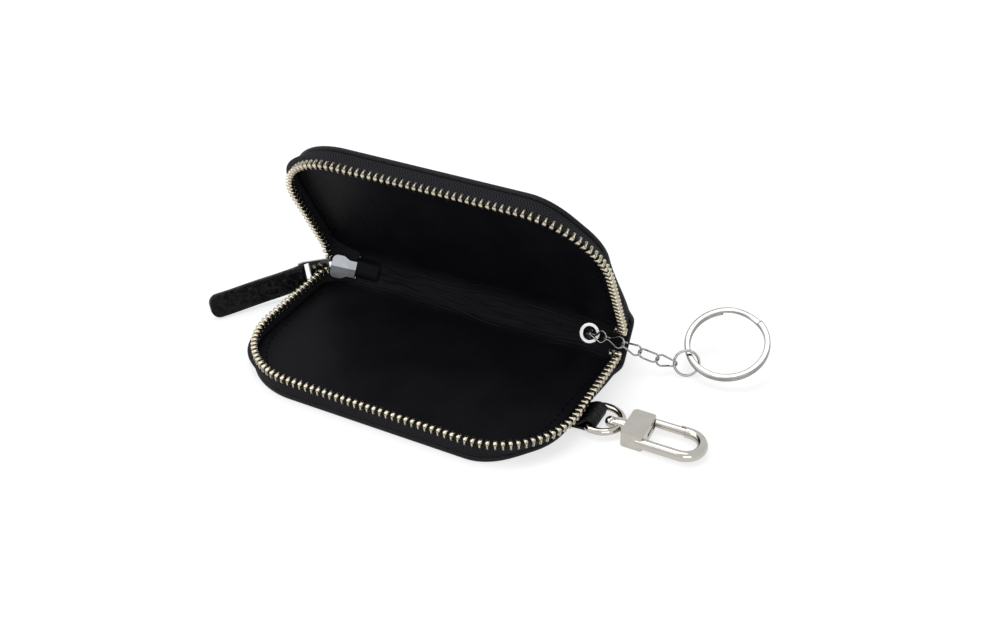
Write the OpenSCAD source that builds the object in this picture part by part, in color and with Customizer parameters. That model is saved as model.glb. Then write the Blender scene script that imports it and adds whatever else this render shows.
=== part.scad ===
// Zip-round leather key case, standing open, with a key ring on a chain and a swivel snap hook.
// X runs along the spine, Y towards the spine, Z up; the origin is the centre of the underside.

/* [Case] */
// Length across the zip line, side to side
case_l = 108.6; // [96:0.2:124]
// Depth from the front zip line to the spine fold
case_d = 60; // [56:0.5:70]
// Plan radius of the two front corners, at the zip line
corner_r = 24.6; // [16:0.2:27]
// Height of one half, from its outer face to the parting plane
half_h = 8.25; // [8.1:0.05:11]
// How far the lid stands open from shut, in degrees
lid_open = 62; // [50:1:75]

/* [Leather] */
// Thickness of the outer leather
cover_t = 1.1; // [0.8:0.05:1.4]
// Radius of the turned outer edge
edge_r = 0.95; // [0.8:0.05:1.1]
// How far the leather edge stands outside the zip line
edge_out = 0.6; // [0:0.05:1.2]
// Width of the turned-in hem
hem_w = 5; // [4.8:0.1:8]
// Thickness of the lining leather
lining_t = 0.6; // [0.4:0.05:0.8]
// Radius of the rolled fold at each side of the spine
fold_r = 1.9; // [1.6:0.05:2.2]
// Thickness of the spine leather between its folds
spine_t = 1.5; // [1.3:0.05:1.7]

/* [Zip] */
// Thickness of the woven tape
tape_t = 0.7; // [0.5:0.05:0.8]
// Radius of the cord bead that the teeth grip
bead_r = 0.55; // [0.5:0.01:0.6]
// Width of the tape that is sewn under the lining
foot_w = 4.6; // [3:0.1:4.7]
// Spacing of the teeth along one row
tooth_pitch = 2.15; // [2.1:0.01:2.6]
// Thickness of a tooth along the row
tooth_t = 0.9; // [0.7:0.01:0.92]
// Height of a tooth from leg ends to nib
tooth_h = 2.6; // [2.4:0.05:2.9]
// Width of a tooth across the tape
tooth_w = 2; // [1.8:0.05:2.2]
// How deep the two rows mesh when shut
mesh_h = 0.8; // [0.6:0.05:0.9]

/* [Slider] */
// Length of the slider body
slider_l = 8.4; // [7.8:0.1:9.5]
// Width of the slider at its mouth
slider_w = 7.8; // [7.2:0.1:8]
// Width of the slider at its tail
slider_tail_w = 5.6; // [5:0.1:6.2]
// Half of the space between the two plates
plate_in = 1.1; // [1:0.05:1.2]
// Thickness of each plate
plate_t = 0.8; // [0.6:0.05:0.9]
// Height of the bridge's bar above the outer plate
bridge_rise = 3.1; // [3:0.05:3.4]

/* [Puller] */
// Pivot to end bar of the metal link
link_l = 13.6; // [12:0.1:15]
// Wire radius of the metal link
link_r = 0.45; // [0.4:0.01:0.52]
// Length of the leather tab beyond the end bar
tab_l = 32.6; // [26:0.2:36]
// Width of the leather tab
tab_w = 8.4; // [7.4:0.1:8.6]
// Thickness of one ply of the tab
tab_ply = 1.05; // [0.8:0.05:1.2]

/* [Eyelet and anchor] */
// How far the eyelet stands in from the right-hand side
eyelet_in = 12.3; // [11.3:0.5:18.3]
// Outer radius of the eyelet flange
eyelet_r = 3.4; // [3.2:0.05:3.6]
// Bore radius of the eyelet
eyelet_bore = 2.1; // [2:0.05:2.3]
// Wire radius of the anchor staple
staple_r = 0.35; // [0.3:0.01:0.4]

/* [Chain and rings] */
// Wire radius of the chain links
chain_r = 0.3; // [0.25:0.01:0.32]
// Outer width of a chain link
chain_w = 4.3; // [4.1:0.05:4.4]
// Spacing from link to link along the chain
chain_pitch = 5.9; // [5.7:0.05:6]
// Wire radius of the jump ring
jump_r = 0.4; // [0.35:0.01:0.45]
// Outer diameter of the jump ring
jump_d = 8.6; // [8.4:0.1:9.4]
// Outer diameter of the split ring
split_d = 26.4; // [24.5:0.1:28]
// Radial width of the split ring's flat wire
split_w = 1.8; // [1.6:0.05:2]
// Thickness of one turn of the split ring
split_t = 0.95; // [0.8:0.05:0.98]

/* [Strap and eye] */
// Place of the strap along the side, towards the spine
strap_y = 1; // [-3:0.5:8]
// Width of the strap where it leaves the case
strap_w = 12.4; // [11:0.2:14]
// Width of the strap round the eye's bar
strap_loop_w = 9; // [8:0.1:9.2]
// Thickness of the strap leather
strap_ply = 1; // [0.8:0.05:1.1]
// Section radius of the swivel eye
eye_r = 1.1; // [1:0.05:1.15]
// Half width of the swivel eye at its wire's centre
eye_half = 5.9; // [5.8:0.05:6.4]

/* [Hook] */
// Height of the hook's centre plane above the table
hook_z = 2.6; // [2.55:0.05:2.8]
// Length of the hook's block
block_l = 7; // [6.6:0.1:8]
// Width of the hook's block
block_w = 12; // [11.8:0.1:12.4]
// Thickness of the hook's block
block_t = 5; // [4.8:0.05:5.1]
// Section radius of the hook's arm
arm_r = 1.6; // [1.5:0.05:1.65]
// Half spacing of the arm and the gate
hook_half = 5.3; // [5.2:0.05:5.6]
// Straight length of the hook beyond its block
hook_l = 10.6; // [9:0.1:14]
// Section radius of the sprung gate
gate_r = 1.3; // [1.1:0.05:1.35]
// Radius of the gate's pin
pin_r = 0.6; // [0.5:0.05:0.7]

/* [Hidden] */

$fn = 48;
// Overrun of every cut past the face that it opens
over = 1;

// Places of the folds and of the layers
fold_lift = 0.3;
fold_gap = 0.3;
fold_y = case_d / 2;
fold_z = fold_lift + fold_r;
full_h = 2 * half_h;
span = full_h - 2 * fold_z;
half_open = lid_open / 2;
hem_top = 2 * edge_r;
foot_t = 0.5;
lining_z = hem_top + foot_t;
board_gap = 0.3;
lining_gap = 0.25;
pare_l = 5.2;
pare_w = 1.8;
spine_lining_t = 0.8;
spine_skin_y = fold_y + fold_r - spine_t;
lining_y = spine_skin_y - spine_lining_t;

// The zip line: left side, left corner, front, right corner, right side
left_stop = 8;
right_stop = 6.6;
corner_y = corner_r - case_d / 2;
side_x = case_l / 2;
left_l = fold_y - left_stop - corner_y;
right_l = fold_y - right_stop - corner_y;
corner_l = PI / 2 * corner_r;
front_l = case_l - 2 * corner_r;
zip_l = left_l + corner_l + front_l + corner_l + right_l;
teeth = floor(zip_l / tooth_pitch) - 1;
first_tooth = (zip_l - (teeth - 1) * tooth_pitch) / 2;

// Details of a tooth
tooth_top = half_h + mesh_h / 2;
tooth_z = tooth_top - tooth_h;
leg_h = 1.6;
nib_w = 1.5;
tooth_chamfer = 0.25;
grip = 0.03;
bead_up = 0.75;
boss_r = 0.28;
boss_h = 0.07;
dimple_r = 0.36;
dimple_d = 0.14;

// The ends of the two rows turn in to the spine round the chain's way out
tail_r = 3.8;
tail_z = 4.7;
tail_skirt = 0.1;
tail_step = 32;
tail_start = 14;
tail_teeth = 3;

// The slider, in from the left-hand side and from the spine fold
slider_side = 5.4;
slider_x = slider_side - side_x;
slider_in = 2.6;
slider_y = fold_y - slider_in;
slider_z = 7.2;
slider_yaw = 34;
plate_out = plate_in + plate_t;
ridge_rise = 0.4;
flange_h = 0.5;
flange_w = 0.7;
shoulder_share = 0.45;
waist_share = 0.7;
shoulder_r = 1.8;
diamond_w = 2.8;
diamond_l = 3.6;
bridge_w = 1.6;
bridge_t = 0.9;
bridge_from = 0.5;
bridge_leg = 0.8;
bridge_l = 5.6;
crossbar_in = 1.15;
crossbar_up = 2.15;
crossbar_u = bridge_from + bridge_leg + crossbar_in;
crossbar_w = plate_out + crossbar_up;
crossbar_v = 0.25;

// The pull hangs on the bridge and lies with its end on the table
pull_yaw = 60;
pull_pitch = 2.7;
pull_lean = 10;
link_half = 2.6;
link_neck_l = 3.2;
link_arm = 0.75;
link_neck_arm = 0.6;
link_side_gap = 0.15;
link_wide = tab_w / 2 + link_side_gap + link_arm;
link_slot_l = 3.2;
link_shoulder_share = 0.88;
bead_share = 1.04;
bar_fit = 0.1;
tab_turn = -4;
tab_corner = 3;
tab_root_r = link_r + bar_fit + tab_ply;

// The eyelet and the staple behind it
eyelet_x = side_x - eyelet_in;
flange_t = 0.6;
barrel_t = 0.3;
washer_t = 0.3;
washer_r = 3.3;
barrel_fit = 0.05;
pocket_r = 3.7;
staple_half = 1.1;
staple_side = 0.9;
staple_out = 3;
staple_foot = 2.8;

// The chain: heading from X, slope and roll of each piece, and the twist of its ends
link_gap = 0.08;
heading = [-8, 2, 11, 18, 18, 30, 46];
slope = [9, -7, -21, -20.5, -12, 7, 19];
roll = [14, 20, 38, 55, 72, 62, 15];
twist = [45, 45, 45, 42, 40];
chain_half = chain_w / 2 - chain_r;
link_back = 2 * chain_r + link_gap;
staple_back = staple_r + chain_r + link_gap;
jump_mean = jump_d / 2 - jump_r;
jump_back = chain_r + jump_r + link_gap;
ring_turn = 14;
jump_open = 356;
split_mean = (split_d - split_w) / 2;
turn_gap = 0.1;
ring_gap = 0.8;
split_pitch = split_t + turn_gap;
split_back = jump_r + split_w / 2 + ring_gap;
split_from = 30;
split_to = 690;
split_ramp = 60;
split_steps = 110;
split_seam = 36;

// The strap, the eye and the swivel
strap_in = 4.6;
strap_tail_t = hem_top - cover_t;
notch_gap = 0.1;
eye_out = 2.7;
eye_bar_x = side_x + eye_out;
eye_fit = 0.15;
strap_loop_r = eye_r + eye_fit + strap_ply;
strap_neck = strap_loop_r - strap_ply / 4;
strap_end_x = side_x + edge_out + grip;
eye_leg = 2.8;
eye_bend = 1.4;
eye_bow_x = eye_bar_x + eye_leg;
boss_eye_r = 2.1;
boss_back = 2.6;
boss_front = 0.3;
eye_tip_x = eye_bow_x + eye_half + eye_r;
post_r = 1;
post_fit = 0.05;
ball_r = 1.75;
collar_r = 1.6;
collar_t = 0.7;
post_gap = 0.2;
block_gap = 0.3;
post_in = 3;

// The hook and its gate
block_x = eye_tip_x + boss_front + block_gap;
block_end = block_x + block_l;
block_corner = 1.4;
block_nose = 0.8;
arm_in = 2;
bow_x = block_end + hook_l;
gate_y = strap_y + hook_half;
arm_y = strap_y - hook_half;
gate_pin_in = 1.7;
gate_pin_x = block_end - gate_pin_in;
pin_drop = 0.7;
knuckle_r = 1.45;
knuckle_t = 2.6;
ear_gap = 0.1;
lap_l = 1.6;
lap_gap = 0.1;
nose_gap = 0.15;
nose_l = 1.2;
pin_fit = 0.03;
spring_mean = 0.85;
spring_wire = 0.2;
spring_turns = 5;
spring_l = 4.6;
spring_in = 0.9;
spring_gap = 0.45;
spring_pocket = 1.2;
spring_y = gate_y - knuckle_r - spring_gap - spring_l;
spring_sides = 6;
spring_rings = 10;

leather = [0.07, 0.07, 0.08];
lining_leather = [0.12, 0.12, 0.13];
board_grey = [0.45, 0.42, 0.38];
tape_black = [0.05, 0.05, 0.055];
gold = [0.78, 0.72, 0.58];
satin = [0.62, 0.62, 0.64];
silver = [0.85, 0.85, 0.86];
nickel = [0.76, 0.72, 0.67];

// A point of the shut spine, where it stands with the case open
function tilt(p, a) = [
    p[0],
    fold_y + (p[1] - fold_y) * cos(a) + (p[2] - fold_z) * sin(a),
    fold_z - (p[1] - fold_y) * sin(a) + (p[2] - fold_z) * cos(a)
];

// Unit vector of a heading and a slope
function way(h, s) = [cos(s) * cos(h), cos(s) * sin(h), sin(s)];

// Unit vector square to a heading and a slope, turned by a roll
function side_way(h, s, r) = [
    -sin(s) * sin(r) * cos(h) - cos(r) * sin(h),
    -sin(s) * sin(r) * sin(h) + cos(r) * cos(h),
    cos(s) * sin(r)
];

// Start of the chain piece i: the centre of the wire that carries it
anchor_point = tilt([eyelet_x + staple_side, fold_y - staple_out, half_h], half_open);
function chain_start(i) =
    i == 0 ? anchor_point :
    i < 6 ? chain_start(i - 1) + chain_pitch * way(heading[i - 1], slope[i - 1]) :
    chain_start(5) + (jump_mean * (1 + cos(ring_turn)) - jump_back) * way(heading[5], slope[5])
        + jump_mean * sin(ring_turn) * side_way(heading[5], slope[5], roll[5]);

// The slider's mouth, and the crossbar of the pull, on the shut spine
slider_origin = [slider_x - slider_l / 2 * cos(slider_yaw), slider_y - slider_l / 2 * sin(slider_yaw), slider_z];
crossbar_shut = slider_origin + [
    crossbar_u * cos(slider_yaw) - crossbar_w * sin(slider_yaw),
    crossbar_u * sin(slider_yaw) + crossbar_w * cos(slider_yaw),
    crossbar_v
];
crossbar = tilt(crossbar_shut, half_open);

module on_spine() {
    translate([0, fold_y, fold_z]) rotate([-half_open, 0, 0]) translate([0, -fold_y, -fold_z]) children();
}

module on_lid() {
    on_spine()
        translate([0, fold_y, full_h - fold_z])
            rotate([-half_open, 0, 0])
                translate([0, -fold_y, fold_z - full_h])
                    children();
}

module flipped() {
    translate([0, 0, full_h]) mirror([0, 0, 1]) children();
}

// Outline of one half in plan, offset outwards from the zip line
module plan(out) {
    w = side_x + out;
    f = case_d / 2 + out;
    r = corner_r + out;
    translate([-w, r - f]) square([2 * w, f - r + fold_y]);
    translate([r - w, -f]) square([2 * (w - r), r + fold_gap]);
    for (side = [-1, 1]) translate([side * (w - r), r - f]) circle(r, $fn = 96);
}

// A profile carried along the zip line: its X is outwards, its Y is up
module run_right(length) {
    translate([side_x, corner_y + length, 0]) rotate([90, 0, 0]) linear_extrude(length) children();
}

module run_corner() {
    translate([side_x - corner_r, corner_y, 0])
        rotate([0, 0, -90])
            rotate_extrude(angle = 90, $fn = 96) translate([corner_r, 0]) children();
}

module along_zip(left, right) {
    run_right(right) children();
    run_corner() children();
    mirror([1, 0, 0]) run_right(left) children();
    mirror([1, 0, 0]) run_corner() children();
    translate([front_l / 2, -case_d / 2, 0])
        rotate([0, 0, -90]) rotate([90, 0, 0]) linear_extrude(front_l) children();
}

// Places children at a length along the zip line, with X outwards and Y along it
module at_zip(s) {
    s1 = s - left_l;
    s2 = s1 - corner_l;
    s3 = s2 - front_l;
    s4 = s3 - corner_l;
    if (s1 < 0) {
        translate([-side_x, corner_y - s1, 0]) rotate([0, 0, 180]) children();
    } else if (s2 < 0) {
        translate([corner_r - side_x, corner_y, 0])
            rotate([0, 0, 180 + 90 * s1 / corner_l]) translate([corner_r, 0, 0]) children();
    } else if (s3 < 0) {
        translate([s2 - front_l / 2, -case_d / 2, 0]) rotate([0, 0, -90]) children();
    } else if (s4 < 0) {
        translate([side_x - corner_r, corner_y, 0])
            rotate([0, 0, 90 * s3 / corner_l - 90]) translate([corner_r, 0, 0]) children();
    } else {
        translate([side_x, corner_y + s4, 0]) children();
    }
}

// Room for the rolled fold at the back of a half
module fold_room() {
    translate([-case_l, fold_y, fold_z]) rotate([0, 90, 0]) cylinder(r = fold_r + fold_gap, h = 2 * case_l);
}

// The left rear corner of each half is pared back, so that the pull clears it when the case shuts
module pared_corner() {
    left = side_x + edge_out;
    translate([0, 0, -over]) linear_extrude(full_h) polygon([
        [-left - over, fold_y - pare_l], [-left, fold_y - pare_l], [pare_w - left, fold_y - fold_r - fold_gap],
        [pare_w - left, fold_y + over], [-left - over, fold_y + over]
    ]);
}

// Room for the strap's tail in the hem
module strap_room() {
    translate([side_x - strap_in - notch_gap, strap_y - strap_w / 2 - notch_gap, cover_t])
        cube([strap_in + edge_out + over, strap_w + 2 * notch_gap, strap_tail_t + over]);
}

module half_cover() {
    difference() {
        union() {
            linear_extrude(cover_t) plan(-edge_r);
            along_zip(fold_y - corner_y, fold_y - corner_y) {
                translate([-hem_w, 0]) square([hem_w + edge_out - edge_r, hem_top]);
                translate([edge_out - edge_r, edge_r]) circle(edge_r);
            }
        }
        fold_room();
        pared_corner();
    }
}

module half_board() {
    difference() {
        translate([0, 0, cover_t]) linear_extrude(lining_z - cover_t) plan(-hem_w - board_gap);
        fold_room();
    }
}

module half_lining() {
    difference() {
        translate([0, 0, lining_z]) linear_extrude(lining_t) plan(-tape_t / 2 - lining_gap);
        fold_room();
        pared_corner();
    }
}

module tape_profile(foot) {
    translate([-foot, 0]) square([foot + tape_t / 2, foot_t]);
    translate([-tape_t / 2, 0]) square([tape_t, tooth_z + bead_up - hem_top]);
    translate([0, tooth_z + bead_up - hem_top]) circle(bead_r, $fn = 24);
}

module half_tape() {
    difference() {
        translate([0, 0, hem_top]) along_zip(left_l, right_l) tape_profile(foot_w);
        fold_room();
    }
}

// A tooth across the tape: two legs round the bead, and a narrower nib above them
module tooth_face() {
    difference() {
        polygon([
            [-tooth_w / 2, 0], [tooth_w / 2, 0], [tooth_w / 2, leg_h - tooth_chamfer],
            [nib_w / 2, leg_h + tooth_chamfer], [nib_w / 2, tooth_h - tooth_chamfer],
            [nib_w / 2 - tooth_chamfer, tooth_h], [tooth_chamfer - nib_w / 2, tooth_h],
            [-nib_w / 2, tooth_h - tooth_chamfer], [-nib_w / 2, leg_h + tooth_chamfer],
            [-tooth_w / 2, leg_h - tooth_chamfer]
        ]);
        translate([-tape_t / 2 - grip, -over]) square([tape_t + 2 * grip, bead_up + over]);
        translate([0, bead_up]) circle(bead_r + grip, $fn = 24);
    }
}

// A tooth along the row: its nib is bevelled at the top
module tooth_side() {
    polygon([
        [-tooth_t / 2, 0], [tooth_t / 2, 0], [tooth_t / 2, tooth_h - tooth_chamfer],
        [tooth_t / 2 - tooth_chamfer / 2, tooth_h], [tooth_chamfer / 2 - tooth_t / 2, tooth_h],
        [-tooth_t / 2, tooth_h - tooth_chamfer]
    ]);
}

module tooth() {
    difference() {
        union() {
            intersection() {
                translate([0, tooth_t / 2, 0]) rotate([90, 0, 0]) linear_extrude(tooth_t) tooth_face();
                translate([-tooth_w, 0, 0]) rotate([90, 0, 90]) linear_extrude(2 * tooth_w) tooth_side();
            }
            translate([0, tooth_t / 2 - boss_h, tooth_h - mesh_h / 2])
                rotate([-90, 0, 0]) cylinder(r = boss_r, h = 2 * boss_h, $fn = 16);
        }
        translate([0, dimple_d - tooth_t / 2, tooth_h - mesh_h / 2])
            rotate([90, 0, 0]) cylinder(r = dimple_r, h = over, $fn = 16);
    }
}

module row(phase) {
    for (i = [0:teeth - 2]) {
        translate([0, 0, tooth_z]) at_zip(first_tooth + (i + phase) * tooth_pitch) tooth();
    }
}

module lower_cover() {
    color(leather) difference() {
        half_cover();
        strap_room();
    }
}
module lower_board() { color(board_grey) half_board(); }
module lower_lining() { color(lining_leather) half_lining(); }
module lower_tape() { color(tape_black) half_tape(); }
module lower_teeth() { color(gold) row(0); }
module upper_cover() { color(leather) on_lid() flipped() half_cover(); }
module upper_board() { color(board_grey) on_lid() flipped() half_board(); }
module upper_lining() { color(lining_leather) on_lid() flipped() half_lining(); }
module upper_tape() { color(tape_black) on_lid() flipped() half_tape(); }
module upper_teeth() { color(gold) on_lid() flipped() row(0.5); }

// The spine leather runs from the slider to the right-hand edge
spine_gap = 0.7;
spine_from = slider_x + slider_l / 2 + spine_gap;
spine_to = side_x + edge_out;

module spine_cover() {
    color(leather) on_spine() difference() {
        union() {
            translate([spine_from, spine_skin_y, fold_z]) cube([spine_to - spine_from, spine_t, span]);
            for (z = [fold_z, full_h - fold_z]) {
                translate([spine_from, fold_y, z])
                    rotate([0, 90, 0]) cylinder(r = fold_r, h = spine_to - spine_from);
            }
        }
        translate([eyelet_x, spine_skin_y - over, half_h])
            rotate([-90, 0, 0]) cylinder(r = pocket_r, h = over + washer_t + 2 * staple_r + grip);
    }
}

module spine_lining() {
    color(lining_leather) on_spine() difference() {
        translate([spine_from, lining_y, fold_z + fold_r])
            cube([spine_to - spine_from, spine_lining_t, span - 2 * fold_r]);
        translate([eyelet_x, lining_y - over, half_h])
            rotate([-90, 0, 0])
                cylinder(r = eyelet_bore + barrel_t + barrel_fit, h = spine_lining_t + 2 * over);
    }
}

module tail_turn() {
    translate([side_x - tail_r, fold_y - right_stop, 0]) children();
}

module tape_end() {
    tail_turn() rotate([0, 0, tail_start / 2])
        rotate_extrude(angle = 90 - tail_start / 2, $fn = 96)
            translate([tail_r, tail_z - tooth_h / 2])
                union() {
                    translate([-tape_t / 2, -tail_skirt]) square([tape_t, bead_up + tail_skirt]);
                    translate([0, bead_up]) circle(bead_r, $fn = 24);
                }
}

module tape_ends() {
    color(tape_black) on_spine() {
        tape_end();
        flipped() tape_end();
    }
}

module end_row() {
    for (i = [0:tail_teeth - 1]) {
        tail_turn() rotate([0, 0, tail_start + i * tail_step])
            translate([tail_r, 0, tail_z - tooth_h / 2]) tooth();
    }
}

module end_teeth() {
    color(gold) on_spine() {
        end_row();
        flipped() end_row();
    }
}

// A stop is a plain clip pressed on the tape past the last tooth
stop_l = 1.6;
stop_h = 1.9;
stop_x = side_x - tail_r - stop_l - tooth_t / 2;
module stop_clip() {
    translate([stop_x, fold_y - right_stop + tail_r - tooth_w / 2, tail_z - tooth_h / 2])
        cube([stop_l, tooth_w, stop_h]);
}

module top_stops() {
    color(gold) on_spine() {
        stop_clip();
        flipped() stop_clip();
    }
}

module at_eyelet(y) {
    translate([eyelet_x, y, half_h]) rotate([-90, 0, 0]) children();
}

module eyelet() {
    color(silver) on_spine() at_eyelet(lining_y - flange_t) rotate_extrude() {
        translate([eyelet_bore, flange_t / 2]) square([eyelet_r - eyelet_bore - flange_t / 2, flange_t / 2]);
        translate([eyelet_bore + flange_t / 2, 0]) square([eyelet_r - eyelet_bore - flange_t, flange_t]);
        for (r = [eyelet_bore + flange_t / 2, eyelet_r - flange_t / 2]) {
            translate([r, flange_t / 2]) circle(flange_t / 2, $fn = 24);
        }
        translate([eyelet_bore, flange_t / 2]) square([barrel_t, flange_t / 2 + spine_lining_t + washer_t]);
    }
}

module eyelet_washer() {
    color(silver) on_spine() at_eyelet(spine_skin_y) difference() {
        cylinder(r = washer_r, h = washer_t);
        translate([0, 0, -over]) cylinder(r = eyelet_bore + barrel_t + grip, h = washer_t + 2 * over);
    }
}

module anchor_staple() {
    leg_back = spine_skin_y + washer_t + staple_r;
    crown_y = fold_y - staple_out + staple_half;
    color(silver) on_spine() translate([eyelet_x + staple_side, 0, half_h]) {
        translate([0, crown_y, 0]) rotate([0, 90, 0]) rotate([0, 0, 180])
            rotate_extrude(angle = 180) translate([staple_half, 0]) circle(staple_r, $fn = 24);
        for (side = [-1, 1]) {
            translate([0, crown_y, side * staple_half])
                rotate([-90, 0, 0]) cylinder(r = staple_r, h = leg_back - crown_y, $fn = 24);
            translate([0, leg_back, side * staple_half]) sphere(staple_r, $fn = 24);
            translate([0, leg_back, side * staple_half])
                rotate([90 - side * 90, 0, 0]) cylinder(r = staple_r, h = staple_foot - staple_half, $fn = 24);
        }
    }
}

// The slider's own frame: X from its mouth to its tail, Y outwards, Z across
module at_slider() {
    on_spine() translate(slider_origin) rotate([0, 0, slider_yaw]) children();
}

module slider_outline(grow) {
    polygon([
        [-grow, -slider_w / 2 + shoulder_r], [shoulder_r, -slider_w / 2 - grow],
        [slider_l * shoulder_share, -slider_w / 2 - grow], [slider_l * waist_share, -slider_tail_w / 2 - grow],
        [slider_l + grow, -slider_tail_w / 2 - grow], [slider_l + grow, slider_tail_w / 2 + grow],
        [slider_l * waist_share, slider_tail_w / 2 + grow], [slider_l * shoulder_share, slider_w / 2 + grow],
        [shoulder_r, slider_w / 2 + grow], [-grow, slider_w / 2 - shoulder_r]
    ]);
    for (side = [-1, 1]) {
        translate([shoulder_r, side * (slider_w / 2 - shoulder_r)]) circle(shoulder_r + grow);
    }
}

module slider_layer(from, to, grow) {
    translate([0, to, 0]) rotate([90, 0, 0]) linear_extrude(to - from) slider_outline(grow);
}

module slider_body() {
    color(satin) at_slider() {
        // The outer plate
        slider_layer(plate_in, plate_out, 0);
        // The inner plate, with a low ridge along its middle
        intersection() {
            slider_layer(-plate_out - ridge_rise, -plate_in, 0);
            translate([-over, 0, 0]) rotate([90, 0, 90]) linear_extrude(slider_l + 2 * over)
                polygon([
                    [-plate_in, -slider_w], [-plate_in, slider_w],
                    [ridge_rise * 2 - plate_out, slider_w], [-plate_out - ridge_rise, 0],
                    [ridge_rise * 2 - plate_out, -slider_w]
                ]);
        }
        // Flanges that hold the teeth in their channel
        for (side = [-1, 1]) {
            intersection() {
                difference() {
                    slider_layer(-plate_in, plate_in, 0);
                    slider_layer(-plate_in - over, plate_in + over, -flange_w);
                }
                union() {
                    translate([-over, -side * plate_in - flange_h * (1 - side) / 2, -slider_w])
                        cube([slider_l + 2 * over, flange_h, 2 * slider_w]);
                }
                translate([shoulder_r, -slider_w, -slider_w]) cube([slider_l, 2 * slider_w, 2 * slider_w]);
            }
        }
        // The wedge that joins the plates and parts the rows
        translate([0, plate_in, 0]) rotate([90, 0, 0]) linear_extrude(2 * plate_in)
            polygon([[0, -diamond_w / 2], [diamond_l, 0], [0, diamond_w / 2]]);
    }
}

module slider_bridge() {
    top = plate_out + bridge_rise + bridge_t;
    right = bridge_from + bridge_l;
    color(satin) at_slider() translate([0, 0, -bridge_w / 2]) linear_extrude(bridge_w) difference() {
        union() {
            translate([bridge_from, plate_out]) square([bridge_l, bridge_rise]);
            translate([bridge_from + bridge_t, plate_out]) square([bridge_l - 2 * bridge_t, bridge_rise + bridge_t]);
            for (x = [bridge_from + bridge_t, right - bridge_t]) {
                translate([x, top - bridge_t]) circle(bridge_t);
            }
        }
        translate([bridge_from + bridge_leg, plate_out - over])
            square([bridge_l - 2 * bridge_leg, over + bridge_rise]);
    }
}

// The tail of the zip lies under a sewn patch beside the slider
patch_gap = 0.4;
patch_from = slider_x + slider_l / 2 + patch_gap;
patch_l = 7;
patch_h = 5.6;
patch_ply = 0.7;
tail_tape_t = 1;
tail_tape_h = 3.6;
tail_y = lining_y - tail_tape_t;
module zip_patch() {
    color(leather) on_spine() difference() {
        translate([patch_from + over, tail_y - patch_ply, half_h - patch_h / 2])
            cube([patch_l, tail_tape_t + patch_ply, patch_h]);
        translate([patch_from, tail_y - grip, half_h - tail_tape_h / 2 - grip])
            cube([patch_l, tail_tape_t + over, tail_tape_h + 2 * grip]);
    }
}

module tail_tape() {
    color(tape_black) on_spine()
        translate([patch_from + over, tail_y, half_h - tail_tape_h / 2])
            cube([patch_l - over - stop_l - grip, tail_tape_t, tail_tape_h]);
}

module bottom_stop() {
    color(gold) on_spine()
        translate([patch_from + patch_l - stop_l, tail_y, half_h - tail_tape_h / 2])
            cube([stop_l - grip, tail_tape_t, tail_tape_h]);
}

// The pull's own frame: X along the link, Z along its crossbar
module at_pull() {
    translate(crossbar) rotate([0, 0, 180 + pull_yaw]) rotate([0, pull_pitch, 0]) rotate([pull_lean, 0, 0]) children();
}

// A round bar between two points
module bar(a, b, r) {
    d = b - a;
    length = norm(d);
    translate(a) rotate([0, acos(d[2] / length), atan2(d[1], d[0])]) cylinder(r = r, h = length, $fn = 24);
}

// A bent wire: bars from point to point, with a round bead at each bend
module wire(points, r) {
    for (i = [1:len(points) - 1]) bar(points[i - 1], points[i], r);
    for (p = points) translate(p) sphere(r * bead_share, $fn = 24);
}

// The link's outline, from its crossbar out to the bar that holds the tab
module link_plan() {
    difference() {
        polygon([
            [0, -link_half], [link_l * link_shoulder_share, -link_wide], [link_l, -link_wide],
            [link_l, link_wide], [link_l * link_shoulder_share, link_wide], [0, link_half]
        ]);
        translate([-over, link_neck_arm - link_half]) square([over + link_neck_l, 2 * (link_half - link_neck_arm)]);
        translate([link_l - link_slot_l, link_arm - link_wide])
            square([link_slot_l + over, 2 * (link_wide - link_arm)]);
    }
}

module puller_link() {
    color(silver) at_pull() {
        translate([0, link_r, 0]) rotate([90, 0, 0]) linear_extrude(2 * link_r) link_plan();
        translate([0, 0, -link_half]) cylinder(r = link_r, h = 2 * link_half, $fn = 24);
        translate([link_l, 0, -link_wide]) cylinder(r = link_r, h = 2 * link_wide, $fn = 24);
    }
}

module pull_tab() {
    color(leather) at_pull() translate([link_l, 0, 0]) rotate([0, 0, tab_turn]) intersection() {
        translate([0, 0, -tab_w / 2]) linear_extrude(tab_w) difference() {
            union() {
                circle(tab_root_r);
                translate([0, -tab_ply]) square([tab_l, 2 * tab_ply]);
            }
            circle(link_r + bar_fit);
        }
        translate([0, tab_l / 2, 0]) rotate([90, 0, 0]) linear_extrude(tab_l) {
            translate([-tab_root_r, -tab_w / 2]) square([tab_l + tab_root_r - tab_corner, tab_w]);
            translate([0, tab_corner - tab_w / 2]) square([tab_l, tab_w - 2 * tab_corner]);
            for (side = [-1, 1]) translate([tab_l - tab_corner, side * (tab_w / 2 - tab_corner)]) circle(tab_corner);
        }
    }
}

// The frame of chain piece i: X along it, its middle plane turned by its roll
module at_chain(i) {
    translate(chain_start(i)) rotate([0, 0, heading[i]]) rotate([0, -slope[i], 0]) rotate([roll[i], 0, 0]) children();
}

// A curb link: two half round ends, each turned by the twist, joined by straight wires
module curb_link(t, back = link_back) {
    near = chain_half - back;
    far = chain_pitch - chain_half;
    translate([near, 0, 0]) rotate([-t, 0, 0]) rotate([0, 0, 90])
        rotate_extrude(angle = 180) translate([chain_half, 0]) circle(chain_r, $fn = 20);
    translate([far, 0, 0]) rotate([t, 0, 0]) rotate([0, 0, -90])
        rotate_extrude(angle = 180) translate([chain_half, 0]) circle(chain_r, $fn = 20);
    for (side = [-1, 1]) {
        wire([
            [near, side * chain_half * cos(t), -side * chain_half * sin(t)],
            [far, side * chain_half * cos(t), side * chain_half * sin(t)]
        ], chain_r);
    }
}

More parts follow.
